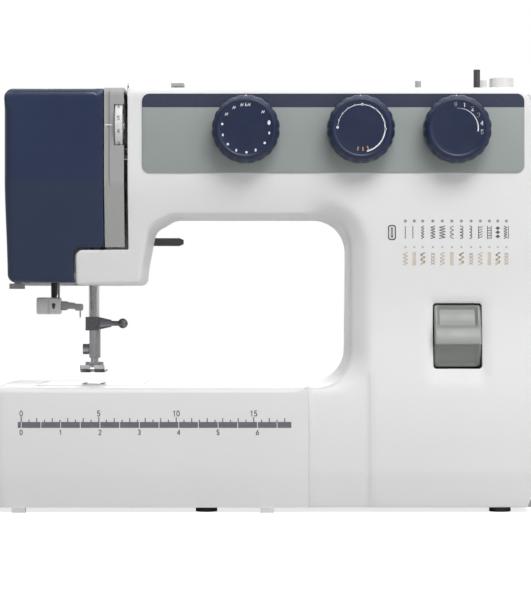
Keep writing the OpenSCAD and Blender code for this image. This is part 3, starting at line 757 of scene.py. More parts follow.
# rear casing
REAR = [[-172.5, TOP, 8, 0.0], [-172.5, LOW, 7, 5.0], [-82, LOW, 5, 4.0], [-80.5, 161, 10, 4.0], [-76, 184.5, 10, 4.0],
        [-62, UND, 10, 4.0], [55, UND, 22, 4.0], [55, 80.7, 22, 4.0], [28, 80.7, 0, 0.4], [28, 3.3, 0, 0.4],
        [169.6, 3.3, 1.5, 0.4], [173.95, 16, 0, 0.3], [173.95, 200, 0, 0.3]] + [[x, z, 0, 0.0] for x, z in CORNER]
REAR = [[-c[0]] + c[1:] for c in reversed(REAR)]
rl = [np.stack([-l[:, 0], l[:, 1]], 1) for l in top_lines(-171, 173, 12.0, 7)]
rl += [line(-172, 26.5, -29, 26.5), line(-172, 25.5, -29, 25.5)]


def back_map(u, v, w):
    return np.stack([-u, -w, v], 1)


V, F = cap_shell(REAR, f_rear, -2.15, back_map, step=4.6, K=6, extra=rl, edge_step=4.6, n=9)
rear = make("rear_casing", V, F, M["white"], None, 38, merge=0.001)
solidify(rear, 2.2, 38)
for c in (rbox("cut_bars", (-166, -4, 140), (-95, 40, 152), M["gap"], None, 0),
          lathe("cut_pin", [(2.4, -8), (2.4, 8)], 24, M["gap"], None, (105.7, 34, 276))):
    cut(rear, c, 38)
ears = [rbox("handle_ear_%d" % i, (x, 45.6, 253), (x + 4.4, 54, 263), M["white"], None, 1.6, 3) for i, x in enumerate((-23.2, 77.2))]
rear = join([rear] + ears)
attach(rear, "casing")
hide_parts("rear_cover")


# right side cover: u is y, v is z, w is depth inwards from x = 177.5
def f_side(q):
    z = q[:, 1]
    w = np.where(z > RC, 177.5 - (RX + np.sqrt(np.maximum(RR * RR - (z - RC) ** 2, 0.0))), 0.0)
    return w + np.maximum((26 - z) * 0.35, 0)


def side_map(u, v, w):
    return np.stack([177.5 - w, u, v], 1)


ZT = RC + math.sqrt(RR ** 2 - (174 - RX) ** 2)
sz = np.array([ZT, 255, 240, 200, 160, 140, 132, 124, 110, 96, 82, 72, 66, 60, 45, 26.0, 16.0])
sx = np.full(len(sz), 170.0)
yf = -72 - flare(sz) + np.maximum((26 - sz) * 2.5 / 22.7, 0)
SIDE = [[yf[0] + 0.55, sz[0], 0, 3.4]] + [[yf[i], sz[i], 0, 3.4] for i in range(1, len(sz))]
zr = sz[::-1]
yr = y_rear(np.full(len(zr), 150.0), zr)
SIDE += [[yr[i], zr[i], 0, 3.4] for i in range(len(zr))]
SIDE[len(sz) - 1][3] = 0.3
holes = [([[22, 19, 1], [46, 19, 1], [46, 43, 1], [22, 43, 1]], 0.5, 3.0),
         ([[24.4, 51.4, 1], [43.6, 51.4, 1], [43.6, 70.6, 1], [24.4, 70.6, 1]], 0.5, 3.0)]
sl = [line(-70, z, 44, z) for z in (262, 264.5, 267, 269, 270.5, 271.1)] + [line(-82, 26.4, 84, 26.4), line(-82, 25.6, 84, 25.6)]
V, F = cap_shell(SIDE, f_side, 3.5, side_map, step=4.2, K=5, holes=holes, extra=sl, edge_step=4.2, wallseg=1)
side = make("side_casing", V, F, M["white"], None, 38, merge=0.001)
close_pinholes(side)
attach(side, "casing")
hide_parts("side_cover")

# navy face cover
FACE = [[-173, TOP, 6.5, 0.0], [-173, 148.8, 5.5, 4.5], [-126, 148.8, 1.2, 1.2], [-126, 171.8, 5.5, 0.9],
        [-105.7, 171.8, 0.6, 0.8], [-105.7, TOP, 0, 0.0]]
FACE.insert(1, [-173, 262, 0, 6.0])
FACE.insert(-1, [-105.7, 264, 0, 0.8])
fl = top_lines(-172, -106, 5.0) + [line(-172, 214 + d, -106, 214 + d) for d in (-3, -1, 0, 1, 2)]


def back_face(P):
    """Open below and on the right, deep at the top and left."""
    deep = ((P[:, 0] < -172.0) | (P[:, 1] > 275.0))
    corner = (P[:, 0] < -165) & (P[:, 1] > 268)
    shallow = f_face(P) + 5.2
    return np.where(deep | corner, 0.8, shallow)


V, F = cap_shell(FACE, f_face, back_face, front_map, step=3.4, K=6, extra=fl, edge_step=3.4, n=9, wallseg=[-60.0, -45.0, -30.0, -15.0])
V = np.array(V)
dr = (3.0 + 2.0 * sm(V[:, 2], -1, 1) * 0 + 1.6 * (1 - sm(V[:, 2], 150, 214))) * (1 - np.clip((V[:, 1] + 72) / 68.0, 0, 1))
V[:, 0] += dr * (1 - sm(V[:, 0], -172, -140))
V[:, 2] -= 0.7 * (1 - np.clip((V[:, 1] + 72) / 60.0, 0, 1)) * sm(V[:, 2], 262, 275)
face = make("needle_head_cover", V, F, M["navy"], None, 38, merge=0.001)
solidify(face, 2.0, 38)
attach(face, "face_cover")
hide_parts("face_cover")


# ------------------------------------------------------------------ CAD pieces that keep their shape
LOOK = {
    "base_plate": ("grey", 0.5), "rubber_feet": ("foot", 0.8), "free_arm_shell": ("white", 0.5), "needle_plate": ("plate", 0.25),
    "machine_frame": ("alu", 1.0), "shaft_bushings": ("bronze", 0.4), "drive_motor": ("dark", 1.0), "drive_belt": ("rubber", 0.2),
    "timing_belt": ("rubber", 0.2), "power_inlet": ("dark", 0.4), "lamp_bulb": ("glass", 0.2), "lamp_socket": ("white2", 0.5),
    "shuttle_race": ("steel", 0.3), "top_thread_guide": ("grey", 0.9), "winder_stop": ("white2", 0.8), "cover_screws": ("steel", 0.4),
    "tension_discs": ("chrome", 0.2), "bobbin_case": ("steel", 0.25), "bobbin": ("chrome", 0.15), "side_cover": ("white", 0.5),
    "front_cover": ("white", 0.5), "rear_cover": ("white", 0.5), "control_panel": ("panel", 0.3), "thread_channel": ("grey", 0.5),
    "face_cover": ("navy", 0.5), "selector_dial": ("knob", 1.0), "length_dial": ("knob", 1.0), "width_dial": ("knob", 1.0),
    "tension_dial": ("white2", 0.5), "reverse_lever": ("lever", 0.8), "needle_bar": ("chrome", 0.4), "needle_clamp": ("darksteel", 0.5),
    "needle_clamp_screw": ("darksteel", 0.3), "needle": ("chrome", 0.05), "take_up_lever": ("chrome", 0.3), "shuttle_hook": ("darksteel", 0.3),
    "lower_shaft": ("steelx", 0.4), "feed_dog": ("steel", 0.1), "presser_lifter": ("dark", 0.7), "presser_bar": ("chrome", 0.4),
    "presser_spring": ("steel", 0.0), "foot_holder": ("satin", 0.5), "foot_screw": ("satin", 0.3), "presser_foot": ("satin", 0.2),
    "threader": ("white2", 0.6), "buttonhole_lever": ("grey", 0.6), "hook_cover": ("white", 0.4), "extension_table": ("white", 0.5),
    "table_feet": ("white2", 0.6), "handwheel": ("white", 1.0), "upper_shaft": ("steelx", 0.4), "motor_pulley": ("steelx", 0.3),
    "cam_stack": ("cam", 0.3), "winder_arm": ("steel", 0.3), "winder_spindle": ("dark", 0.4), "winder_wheel": ("dark", 0.3), "spool_pin": ("grey", 0.4),
    "carry_handle": ("white", 1.2), "power_switch": ("dark", 0.7),
}
for name, (mk, bw) in LOOK.items():
    o = NODES[name]
    if not o.data.materials:
        o.data.materials.append(M[mk])
    for sl_ in o.material_slots:
        sl_.material = M[mk]
    finish_shade(o, 32)
    if bw:
        md = o.modifiers.new("edge", "BEVEL")
        md.width = bw * MM
        md.segments = 2
        md.limit_method = "ANGLE"
        md.angle_limit = math.radians(40)


# ------------------------------------------------------------------ printed marks, gathered into one thin piece per ink
class Print:
    def __init__(self, name, mat, body, mapf, t=0.10):
        self.name, self.mat, self.body, self.mapf, self.t = name, mat, body, mapf, t
        self.V, self.F = [], []

    def poly(self, pts):
        P = np.asarray(pts, float)
        a = np.sum(P[:, 0] * np.roll(P[:, 1], -1) - np.roll(P[:, 0], -1) * P[:, 1])
        if a < 0:
            P = P[::-1]
        i0, n = len(self.V), len(P)
        self.V += list(self.mapf(P[:, 0], P[:, 1], self.t)) + list(self.mapf(P[:, 0], P[:, 1], -0.12))
        self.F.append(tuple(range(i0, i0 + n)))
        self.F.append(tuple(reversed(range(i0 + n, i0 + 2 * n))))
        self.F += [(i0 + i, i0 + n + i, i0 + n + (i + 1) % n, i0 + (i + 1) % n) for i in range(n)]

    def box(self, x0, z0, x1, z1):
        n = max(1, int(abs(x1 - x0) / 6))
        for i in range(n):
            a, b = x0 + (x1 - x0) * i / n, x0 + (x1 - x0) * (i + 1) / n
            self.poly([(a, z0), (b, z0), (b, z1), (a, z1)])

    def dot(self, x, z, r, n=14):
        self.poly([(x + r * math.cos(2 * math.pi * i / n), z + r * math.sin(2 * math.pi * i / n)) for i in range(n)])

    def stroke(self, pts, w):
        pts = [np.array(p, float) for p in pts]
        for a, b in zip(pts[:-1], pts[1:]):
            d = b - a
            L = np.hypot(*d)
            if L < 1e-6:
                continue
            nrm = np.array([-d[1], d[0]]) / L * w / 2
            self.poly([a - nrm, b - nrm, b + nrm, a + nrm])
        for p in pts:
            self.dot(p[0], p[1], w / 2, 8)

    def digits(self, txt, x, z, h, w=None):
        """Plain digits drawn as strokes, centred on (x, z)."""
        w = w or h * 0.13
        adv = h * 0.72
        x0 = x - adv * len(txt) / 2 + adv * 0.14
        for k, ch in enumerate(txt):
            for st in DIG[ch]:
                self.stroke([(x0 + k * adv + px * h * 0.5, z - h / 2 + pz * h) for px, pz in st], w)

    def done(self):
        return make(self.name, self.V, self.F, self.mat, self.body, 30)


def arc(cx, cz, rx, rz, a0, a1, n=8):
    return [(cx + rx * math.cos(math.radians(a0 + (a1 - a0) * i / n)), cz + rz * math.sin(math.radians(a0 + (a1 - a0) * i / n))) for i in range(n + 1)]


DIG = {
    "0": [arc(0.5, 0.5, 0.5, 0.5, 0, 360, 14)],
    "1": [[(0.2, 0.78), (0.55, 1.0), (0.55, 0.0)]],
    "2": [arc(0.5, 0.72, 0.46, 0.28, 160, -30, 8) + [(0.05, 0.0), (1.0, 0.0)]],
    "3": [arc(0.48, 0.76, 0.42, 0.24, 150, -90, 8) + arc(0.48, 0.26, 0.48, 0.26, 90, -150, 8)],
    "4": [[(0.78, 0.0), (0.78, 1.0), (0.0, 0.3), (1.0, 0.3)]],
    "5": [[(0.92, 1.0), (0.16, 1.0), (0.1, 0.54)] + arc(0.48, 0.31, 0.48, 0.31, 130, -150, 9)],
    "6": [[(0.8, 0.98), (0.25, 0.6)] + arc(0.5, 0.3, 0.46, 0.3, 160, -200, 12)],
    "7": [[(0.05, 1.0), (0.95, 1.0), (0.35, 0.0)]],
    "8": [arc(0.5, 0.76, 0.38, 0.24, 0, 360, 10), arc(0.5, 0.27, 0.47, 0.27, 0, 360, 12)],
    "9": [arc(0.5, 0.7, 0.46, 0.3, 0, 360, 12) + [(0.75, 0.35), (0.3, 0.0)]],
}


# ------------------------------------------------------------------ control panel
def panel_out(z0, z1, e=0.0):
    return rpoly([(-80.4 + e, z0, 5), (168.4 - e, z0, 5), (168.4 - e, z1, 5), (-80.4 + e, z1, 5)], 8)


pl = prism("panel_plate", panel_out(220.1, 271.7), -71.0, -72.45, M["panel"], None, bev=0.35)
bandp = [(x, z) for x, z in panel_out(220.1, 271.7, 0.12) if z > 262.8]
bandp = [p for p in bandp]
bandp = [(-80.28, 262.8), (168.28, 262.8)] + sorted([p for p in bandp if p[0] > 100], key=lambda p: math.atan2(p[1] - 266.7, p[0] - 163.4)) + \
    sorted([p for p in bandp if p[0] < 0], key=lambda p: math.atan2(p[1] - 266.7, p[0] + 75.4))
bandp = [(x, min(z, 271.55)) for x, z in bandp]
pb = prism("panel_band", bandp, -72.3, -72.58, M["band"], None, bev=0.0)
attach(pb, "casing")
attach(pl, "casing")
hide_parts("control_panel")

pm = lambda u, v, t: np.stack([u, np.full(len(u), -72.58 - t), v], 1)
pw = Print("panel_pointers", M["ink_white"], "casing", pm, 0.09)
for x in (-12.7, 61.8, 124.1):
    pw.box(x - 0.45, 269.2, x + 0.45, 271.0)
pw.done()


# ------------------------------------------------------------------ the three dials
def dial(name, body, cx, node):
    cz = 247.9
    prof = [(5.0, 0.0), (20.4, 0.0), (20.9, 0.4), (21.1, 1.2), (21.5, 1.8), (21.9, 2.6), (22.0, 3.6), (22.0, 6.0), (22.0, 9.0), (22.0, 11.2),
            (21.8, 12.2), (21.4, 13.0), (20.9, 13.8), (20.2, 14.9), (19.6, 15.8), (19.2, 16.15), (18.6, 16.35), (18.0, 16.38),
            (17.5, 16.3), (17.0, 15.98), (16.6, 15.9), (12.0, 15.9), (6.0, 15.9), (0.0, 15.9)]

    def mod(r, h, a):
        if r > 17.5 and 1.9 < h < 16.3:
            s = 0.5 + 0.5 * math.cos(20 * a)
            k = 1.0 if h < 12.5 else max(0.0, (16.3 - h) / 3.8)
            return r - 0.5 * k * (s ** 2)
        return r
    o = lathe(name, prof, 240, M["knob"], body, (cx, -72.9, cz), "-y", 34, mod)
    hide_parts(node)
    shaft = lathe(name + "_spindle", [(5.0, -22.9), (5.0, 0.5)], 32, M["dark"], body, (cx, -72.9, cz), "-y", 30)
    return o


YF = -72.9 - 15.92
km = lambda u, v, t: np.stack([u, np.full(len(u), YF - t), v], 1)


def px(x, y):
    s = 1.5525
    return (x - 265.5) / s, 137.4 + (300 - y) / s


dial("stitch_dial", "selector_dial", -12.7, "selector_dial")
dial("stitch_length_dial", "length_dial", 61.8, "length_dial")
dial("stitch_width_dial", "width_dial", 124.1, "width_dial")
kd = Print("stitch_dial_marks", M["ink_white"], "selector_dial", km)
for i, (x, y) in enumerate([(242, 105), (249, 105), (263, 112), (268, 123), (269, 133), (266, 144), (256, 151), (246.5, 153), (236, 151), (227, 145),
                            (221, 135.5), (221.6, 124), (226, 114), (234, 107.5)]):
    X, Z = px(x, y)
    a = math.atan2(Z - 247.9, X + 12.7)
    r = 15.4
    X, Z = -12.7 + r * math.cos(a), 247.9 + r * math.sin(a)
    if i == 3:
        kd.poly(arc(X, Z, 1.0, 1.5, 0, 350, 15))
    elif i in (0, 1, 2, 12, 13):
        kd.stroke([(X - 0.9, Z - 0.8), (X - 0.3, Z + 0.8), (X + 0.3, Z - 0.8), (X + 0.9, Z + 0.8)], 0.42)
    elif i % 2:
        kd.dot(X, Z, 0.8)
    else:
        kd.poly(arc(X, Z, 0.6, 1.0, 0, 350, 13))
kd.poly([(-13.2, 262.2), (-12.2, 262.2), (-12.7, 264.9)])
kd.done()
ld = Print("length_dial_marks", M["ink_white"], "length_dial", km)
lo_ = Print("length_dial_orange", M["ink_orange"], "length_dial", km)
for i in range(11):
    a = math.radians(178 - i * 18)
    ld.dot(61.8 + 15.4 * math.cos(a), 248.0 + 15.4 * math.sin(a), 0.85 if i in (0, 5, 10) else 0.5)
n = 26
for i in range(n):
    a0, a1 = math.radians(178 - i * 9.8), math.radians(178 - (i + 1) * 9.8)
    w0, w1 = 0.14 + 0.5 * i / n, 0.14 + 0.5 * (i + 1) / n
    c = lambda a, r: (61.8 + r * math.cos(a), 248.0 + r * math.sin(a))
    ld.poly([c(a0, 15.4 - w0), c(a1, 15.4 - w1), c(a1, 15.4 + w1 * 0.5), c(a0, 15.4 + w0 * 0.5)])
for a in (-100, -86, -72):
    a = math.radians(a)
    lo_.stroke([(61.8 + 12.2 * math.cos(a), 248.0 + 12.2 * math.sin(a)), (61.8 + 14.4 * math.cos(a), 248.0 + 14.4 * math.sin(a))], 0.7)
ld.done()
lo_.done()
wd = Print("width_dial_marks", M["ink_white"], "width_dial", km)
for i in range(6):
    a = math.radians(96 - i * 21)
    wd.digits(str(i), 124.1 + 15.6 * math.cos(a), 248.0 + 15.6 * math.sin(a), 2.7, 0.5)
for i in range(12):
    a0, a1 = math.radians(94 - i * 8.6), math.radians(94 - (i + 1) * 8.6)
    w0, w1 = 0.05 + 0.03 * i, 0.05 + 0.03 * (i + 1)
    c = lambda a, r: (124.1 + r * math.cos(a), 248.0 + r * math.sin(a))
    wd.poly([c(a0, 12.9 - w0), c(a1, 12.9 - w1), c(a1, 12.9 + w1), c(a0, 12.9 + w0)])
wd.done()

# ------------------------------------------------------------------ tension wheel
tprof = [(3.4, -2.5), (8.0, -2.5), (9.0, -1.6), (16.0, -1.6), (17.4, -2.3), (19.2, -2.5), (19.8, -2.1), (20.0, -1.4), (20.0, 1.4), (19.8, 2.1), (19.2, 2.5),
         (17.4, 2.3), (16.0, 1.6), (9.0, 1.6), (8.0, 2.5), (3.4, 2.5)]
tw = lathe("tension_wheel", tprof, 216, M["white2"], "tension_dial", (-95.5, -56, 251.4), "x", 30,
           lambda r, h, a: r - (0.32 if r > 19.9 and abs(h) < 1.6 and (int(round(a / (2 * math.pi) * 216)) % 3 == 0) else 0.0), closed=False)
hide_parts("tension_dial")


def rim_map(u, v, t):
    """u across the wheel, v along its rim in mm from the front."""
    a = v / 20.0
    r = 20.02 + t
    return np.stack([u, -56 - r * np.cos(a), 251.4 + r * np.sin(a)], 1)


td = Print("tension_wheel_digits", M["ink_dark"], "tension_dial", rim_map, 0.05)
for i in range(10):
    td.digits(str(i), -95.5, (i - 4.5) * 8.6, 2.6)
td.done()
tk = Print("tension_mark", M["ink_white"], "casing", lambda u, v, t: np.stack([u, np.full(len(u), -72.0 - t), v], 1), 0.06)
tk.box(-104.4, 251.0, -99.6, 251.8)
tk.done()

# ------------------------------------------------------------------ reverse lever
NU, NA = 34, 96
us_ = np.linspace(109.7, 139.9, NU)
an = np.linspace(-41, 41, NA)
U, A = np.meshgrid(us_, an, indexing="ij")
mask = sm(U, 111.4, 113.2) * (1 - sm(U, 136.4, 138.2))
ridge = sm(A, -10.8, -8.6) * np.clip((13.0 - A) / 20.5, 0, 1) ** 0.9
R0 = 30.8 + 5.4 * ridge
R0 -= mask * (2.4 * sm(A, 9.0, 16.0) * (1 - sm(A, 36, 41)) + 1.2 * (1 - sm(A, -15, -12.0)) * sm(A, -40, -36))
edge = np.minimum(U - 109.7, 139.9 - U)
R0 -= np.where(edge < 0.9, 0.9 - np.sqrt(np.maximum(0.81 - (0.9 - edge) ** 2, 0)), 0)
V = np.stack([U, -46 - R0 * np.cos(np.radians(A)), 114 + R0 * np.sin(np.radians(A))], -1).reshape(-1, 3)
Ri = 27.2
W = np.stack([U, -46 - Ri * np.cos(np.radians(A)), 114 + Ri * np.sin(np.radians(A))], -1).reshape(-1, 3)
F = []
ix = lambda i, j: i * NA + j
for i in range(NU - 1):
    for j in range(NA - 1):
        F.append((ix(i, j), ix(i + 1, j), ix(i + 1, j + 1), ix(i, j + 1)))
        F.append((NU * NA + ix(i, j), NU * NA + ix(i, j + 1), NU * NA + ix(i + 1, j + 1), NU * NA + ix(i + 1, j)))
for i in range(NU - 1):
    for j in (0, NA - 1):
        F.append((ix(i, j), ix(i + 1, j), NU * NA + ix(i + 1, j), NU * NA + ix(i, j)))
for j in range(NA - 1):
    for i in (0, NU - 1):
        F.append((ix(i, j), ix(i, j + 1), NU * NA + ix(i, j + 1), NU * NA + ix(i, j)))
rv = make("reverse_key", np.concatenate([V, W]), F, M["lever"], None, 40)
web = [rbox("reverse_web_%d" % i, (x, -73.5, 106.5), (x + 2.4, -45, 121.5), M["lever"], None, 0.8) for i, x in enumerate((111.0, 136.2))]
hub = [lathe("reverse_hub_%d" % i, [(2.6, 0), (5.4, 0), (5.6, 0.4), (5.6, 2.6), (5.4, 3.0), (2.6, 3.0)], 32, M["lever"], None, (x, -46, 114), "x", closed=False)
       for i, x in enumerate((110.6, 136.0))]
rv = join([rv] + web + hub)
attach(rv, "reverse_lever")
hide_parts("reverse_lever")

# ------------------------------------------------------------------ extension table
TB = [[27.9, -85, 0.5, 0.8], [27.9, -38.5, 0.8, 0.8], [-153.6, -38.5, 1.5, 0.8], [-153.6, 38.5, 1.5, 0.8], [27.9, 38.5, 0.8, 0.8], [27.9, 80, 0.5, 0.8],
      [-191, 80, 30, 3.6], [-191, -85, 24, 3.6]]
TB = [[c[0], c[1], c[2], c[3]] for c in TB]
TB[0][3] = 0.8
TB.append([-160, -85, 0, 3.8])
TB.append([20, -85, 0, 3.8])
TB.insert(6, [20, 80, 0, 3.8])


def f_table(q):
    return roll(q[:, 0] + 191, 17.0)


def table_map(u, v, w):
    z = 80.7 - w
    k = np.clip((26 - z) / 22.7, 0, 1)
    inner = (np.abs(v) < 39.5) & (u > -155)
    x = np.where(inner, u, u + 2.0 * k * (1 - sm(u, -180, -160)))
    y = np.where(inner, v, v + np.where(v < 0, 2.0, -2.0) * k * sm(np.abs(v), 40, 70))
    return np.stack([x, y, z], 1)


tl = [line(-191 + d, -80, -191 + d, 76, 6) for d in (4.3, 5.6, 8, 11, 14, 17.2)]


def table_back(q):
    # beside the free arm the table is open: only a short lip hangs from the top there
    return np.where((np.abs(q[:, 1]) < 39.2) & (q[:, 0] > -155) & (q[:, 0] < 27.4), 5.0, 77.4)


V, F = cap_shell(TB, f_table, table_back, table_map, step=6.0, K=6, extra=tl, edge_step=4.5, wallseg=[30.0, 54.1, 55.1, 66.0], n=12, wallgap=0.4)
table = make("table_casing", V, F, M["white"], None, 38, merge=0.001)
solidify(table, 2.2, 38)
for v_ in table.data.vertices:
    c_ = v_.co
    c_.x, c_.y, c_.z = min(max(c_.x, -0.191), 0.0279), min(max(c_.y, -0.085), 0.080), min(max(c_.z, 0.0033), 0.0807)
ribs = [rbox("table_rib_%d" % i, (x, y0, 30), (x + 2, y1, 78.6), M["white"], None, 0.3)
        for i, (x, y0, y1) in enumerate([(-76, -83, -40.5), (-20, -83, -40.5), (-120, 40.5, 78), (-20, 40.5, 78)])]
table = join([table] + ribs)
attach(table, "extension_table")
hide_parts("extension_table")

# measuring scale printed on the table front
tm = lambda u, v, t: np.stack([u, np.full(len(u), -85.0 - t), v], 1)
rs = Print("scale_strip", M["ink_rule"], "extension_table", tm, 0.06)
X0 = -157.6
edges = [X0 - 2.2] + [X0 + 12.7 * i for i in range(14)] + [16.9]
for i in range(len(edges) - 1):
    a, b = edges[i] + (0.25 if i else 0), edges[i + 1] - 0.25
    if b > a:
        rs.box(a, 54.9, b, 58.7)
for i in range(35):
    x = X0 + 5.0 * i
    rs.box(x - 0.34, 58.5, x + 0.34, (61.9 if i % 10 == 0 else 61.2) if i % 2 == 0 else 60.2)
for i in (0, 5, 10, 15):
    rs.digits(str(i), X0 + 10 * i, 64.2, 3.4, 0.55)
for i in range(0, 7):
    rs.digits(str(i), X0 + 25.4 * i, 52.0, 3.1, 0.55)
rs.done()

# ------------------------------------------------------------------ stitch chart printed on the column
def chart_map(u, v, t):
    y = f_front(np.stack([u, v], 1))
    return np.stack([u, y - t, v], 1)


ch = Print("stitch_chart", M["ink_dark"], "casing", chart_map, 0.07)
c2 = Print("stitch_chart_stretch", M["ink_pale"], "casing", chart_map, 0.07)
c3 = Print("stitch_chart_dots", M["ink_mid"], "casing", chart_map, 0.07)
c4 = Print("stitch_chart_faint", M["ink_faint"], "casing", chart_map, 0.07)


def pz(x, y):
    s = 1.5375
    return (x - 265.5) / s, 137.4 + (300 - y) / s


def zig(x, z0, z1, w, n):
    return [(x + (w if i % 2 else -w), z0 + (z1 - z0) * i / n) for i in range(n + 1)]


# buttonhole icon
bx, bz = pz(392, 232.5)
ring = arc(bx + 0.9, bz + 3.2, 1.3, 1.3, 0, 90, 4) + arc(bx - 0.9, bz + 3.2, 1.3, 1.3, 90, 180, 4) + arc(bx - 0.9, bz - 3.2, 1.3, 1.3, 180, 270, 4) + \
    arc(bx + 0.9, bz - 3.2, 1.3, 1.3, 270, 360, 4)
ch.stroke(ring + ring[:1], 0.75)
c3.stroke([(bx, bz - 2.8), (bx, bz + 2.8)], 1.5)
for k, cx_ in enumerate([405.4, 414.3, 422.7, 432.9, 442.3, 451.9, 461.4, 471.2, 480.4, 489.4, 497.8, 506.4]):
    x, zt = pz(cx_, 226)
    _, zb = pz(cx_, 238.5)
    _, zd = pz(cx_, 221)
    c3.dot(x, zd, 1.0)
    if k in (0, 1):
        n_ = 5
        for i in range(n_):
            a = zb + (zt - zb) * (i + 0.15) / n_
            b = zb + (zt - zb) * (i + 0.75) / n_
            o_ = 0.9 if (k == 1) else 0.0
            ch.stroke([(x - o_, a), (x - o_, b)], 0.55)
    elif k in (2, 3, 4):
        ch.stroke(zig(x, zb, zt, 0.8 + 0.5 * (k - 2), 9), 0.5)
    elif k == 5:
        ch.stroke([(x - 0.8, zb + (zt - zb) * t) if i % 3 else (x + 1.1, zb + (zt - zb) * t) for i, t in enumerate(np.linspace(0, 1, 10))], 0.48)
    elif k in (6, 7):
        pts = []
        for i in range(4):
            c_ = zb + (zt - zb) * (i + 0.5) / 4
            h_ = (zt - zb) / 8
            pts += arc(x - 0.8, c_, 1.9 if k == 6 else 1.2, h_, -90, 90, 5)
        ch.stroke(pts, 0.5)
    elif k in (8, 9):
        for i in range(5):
            c_ = zb + (zt - zb) * (i + 0.5) / 5
            ch.stroke([(x - 1.2, c_ - 0.5), (x + 1.2, c_ + (0.5 if k == 8 else -0.5))], 0.46)
        ch.stroke([(x - 1.2, zb), (x - 1.2, zt)], 0.46)
        if k == 9:
            ch.stroke([(x + 1.2, zb), (x + 1.2, zt)], 0.46)
    elif k == 10:
        for i in range(3):
            c_ = zb + (zt - zb) * (i + 0.5) / 3
            ch.poly([(x - 1.6, c_), (x, c_ - 1.25), (x + 1.6, c_), (x, c_ + 1.25)])
    else:
        ch.stroke(zig(x - 0.6, zb, zt, 0.9, 10), 0.46)
        ch.stroke([(x + 1.3, zb), (x + 1.3, zt)], 0.46)
    # second row
    _, ze = pz(cx_, 247)
    _, z1 = pz(cx_, 252.5)
    _, z0 = pz(cx_, 265)
    c4.dot(x, ze, 0.7)
    if k % 4 == 0:
        c2.stroke(zig(x, z0, z1, 1.3, 7), 0.6)
    elif k % 4 == 1:
        for o_ in (-0.8, 0, 0.8):
            c2.stroke([(x + o_, z0), (x + o_, z1)], 0.55)
    elif k % 4 == 2:
        c2.stroke(zig(x, z0, z1, 1.4, 5), 0.5)
        c2.stroke([(a_ + 0.2, b_ + 1.0) for a_, b_ in zig(x, z0, z1 - 1, 1.4, 5)], 0.5)
    else:
        for i in range(4):
            c_ = z0 + (z1 - z0) * (i + 0.5) / 4
            c2.stroke([(x - 1.1, c_ - 0.7), (x + 1.1, c_ + 0.7)], 0.5)
            c2.stroke([(x - 1.1, c_ + 0.7), (x + 1.1, c_ - 0.7)], 0.5)
ch.done()
c2.done()
c3.done()
c4.done()

# ------------------------------------------------------------------ handwheel
hp_ = [(6.0, 0.0), (31.0, 0.0), (33.0, 0.2), (34.4, 0.8), (35.0, 1.8), (35.0, 4.4), (35.0, 7.6), (34.6, 8.9), (33.6, 9.9), (32.4, 10.5), (31.0, 10.7),
       (29.8, 10.4), (29.0, 9.6), (28.3, 7.6), (27.4, 6.6), (25.8, 6.2), (18.2, 6.1), (17.0, 6.4), (16.3, 7.4), (16.0, 9.2), (15.9, 11.4), (15.5, 12.2), (14.6, 12.7),
       (8.0, 12.75), (4.0, 12.55), (0.0, 12.5)]


def wheel_mod(r, h, a):
    if r > 31.5 and 0.4 < h < 10.6:
        s = 0.5 + 0.5 * math.cos(36 * a)
        return r - 0.85 * s ** 2 * (1 if 1.5 < h < 8 else 0.5)
    if 15.5 < r < 17 and h > 7:
        return r - 0.35 * (0.5 + 0.5 * math.cos(24 * a)) ** 2
    return r


hw = lathe("hand_wheel", hp_, 288, M["white"], "handwheel", (178.2, -8, 236), "x", 32, wheel_mod)
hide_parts("handwheel")

# ------------------------------------------------------------------ details that ride on the fixed casing
for i, (x, y) in enumerate(((-143.0, 0.0), (-87.5, 0.0))):
    s_ = lathe("plate_screw_%d" % i, [(0.0, 0.0), (1.9, 0.0), (1.9, 0.7), (1.6, 0.85), (0.55, 0.85), (0.5, 0.45), (0.0, 0.45)], 36, M["steel"], "casing", (x, y, 79.95), "z", 30)

# needle threader: pull-down rod with a tapered end, block and hook arm
tb = rbox("threader_block", (-153.6, -22.9, 127.8), (-137.4, -11.5, 139.1), M["white2"], None, 1.3, 3)
cutter = rbox("threader_notch", (-146.5, -24.0, 124), (-144.7, -21.9, 142), M["white2"], None, 0)
cut(tb, cutter, 35)
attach(tb, "threader")
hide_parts("threader")
rod = lathe("threader_rod", [(0.0, -7.8), (0.7, -7.4), (1.3, -4.5), (2.2, 3.0), (2.2, 82.8), (1.9, 83.0), (0.0, 83.0)], 40, M["dark"], "threader", (-142, -17, 139), "z", 30)
for v_ in rod.data.vertices:
    if v_.co.z < 0.1392:
        v_.co.y = -0.0229 + (v_.co.y + 0.017) * 0.35
thin = lathe("threader_wire", [(0.0, 0.0), (0.75, 0.2), (0.8, 1.0), (0.8, 12.0), (0.0, 12.0)], 24, M["steel"], "threader", (-139.2, -14.4, 138.8), "z", 30)
arm_pts = [(-137.6, 130.4), (-134.0, 130.4), (-132.6, 131.4), (-128.4, 131.4), (-127.6, 130.2), (-123.4, 130.2), (-122.7, 130.9), (-122.7, 134.2), (-123.6, 134.9),
           (-127.6, 134.9), (-128.6, 135.6), (-132.4, 135.9), (-133.6, 136.6), (-137.6, 136.6)]
arm_ = prism("threader_arm", arm_pts[::-1], -14.1, -19.4, M["grey"], "threader", bev=0.5)
hookp = lathe("threader_hook", [(0.0, 0.0), (0.5, 0.1), (0.55, 5.0), (0.0, 5.0)], 20, M["steel"], "threader", (-124.6, -16.8, 125.6), "z", 30)


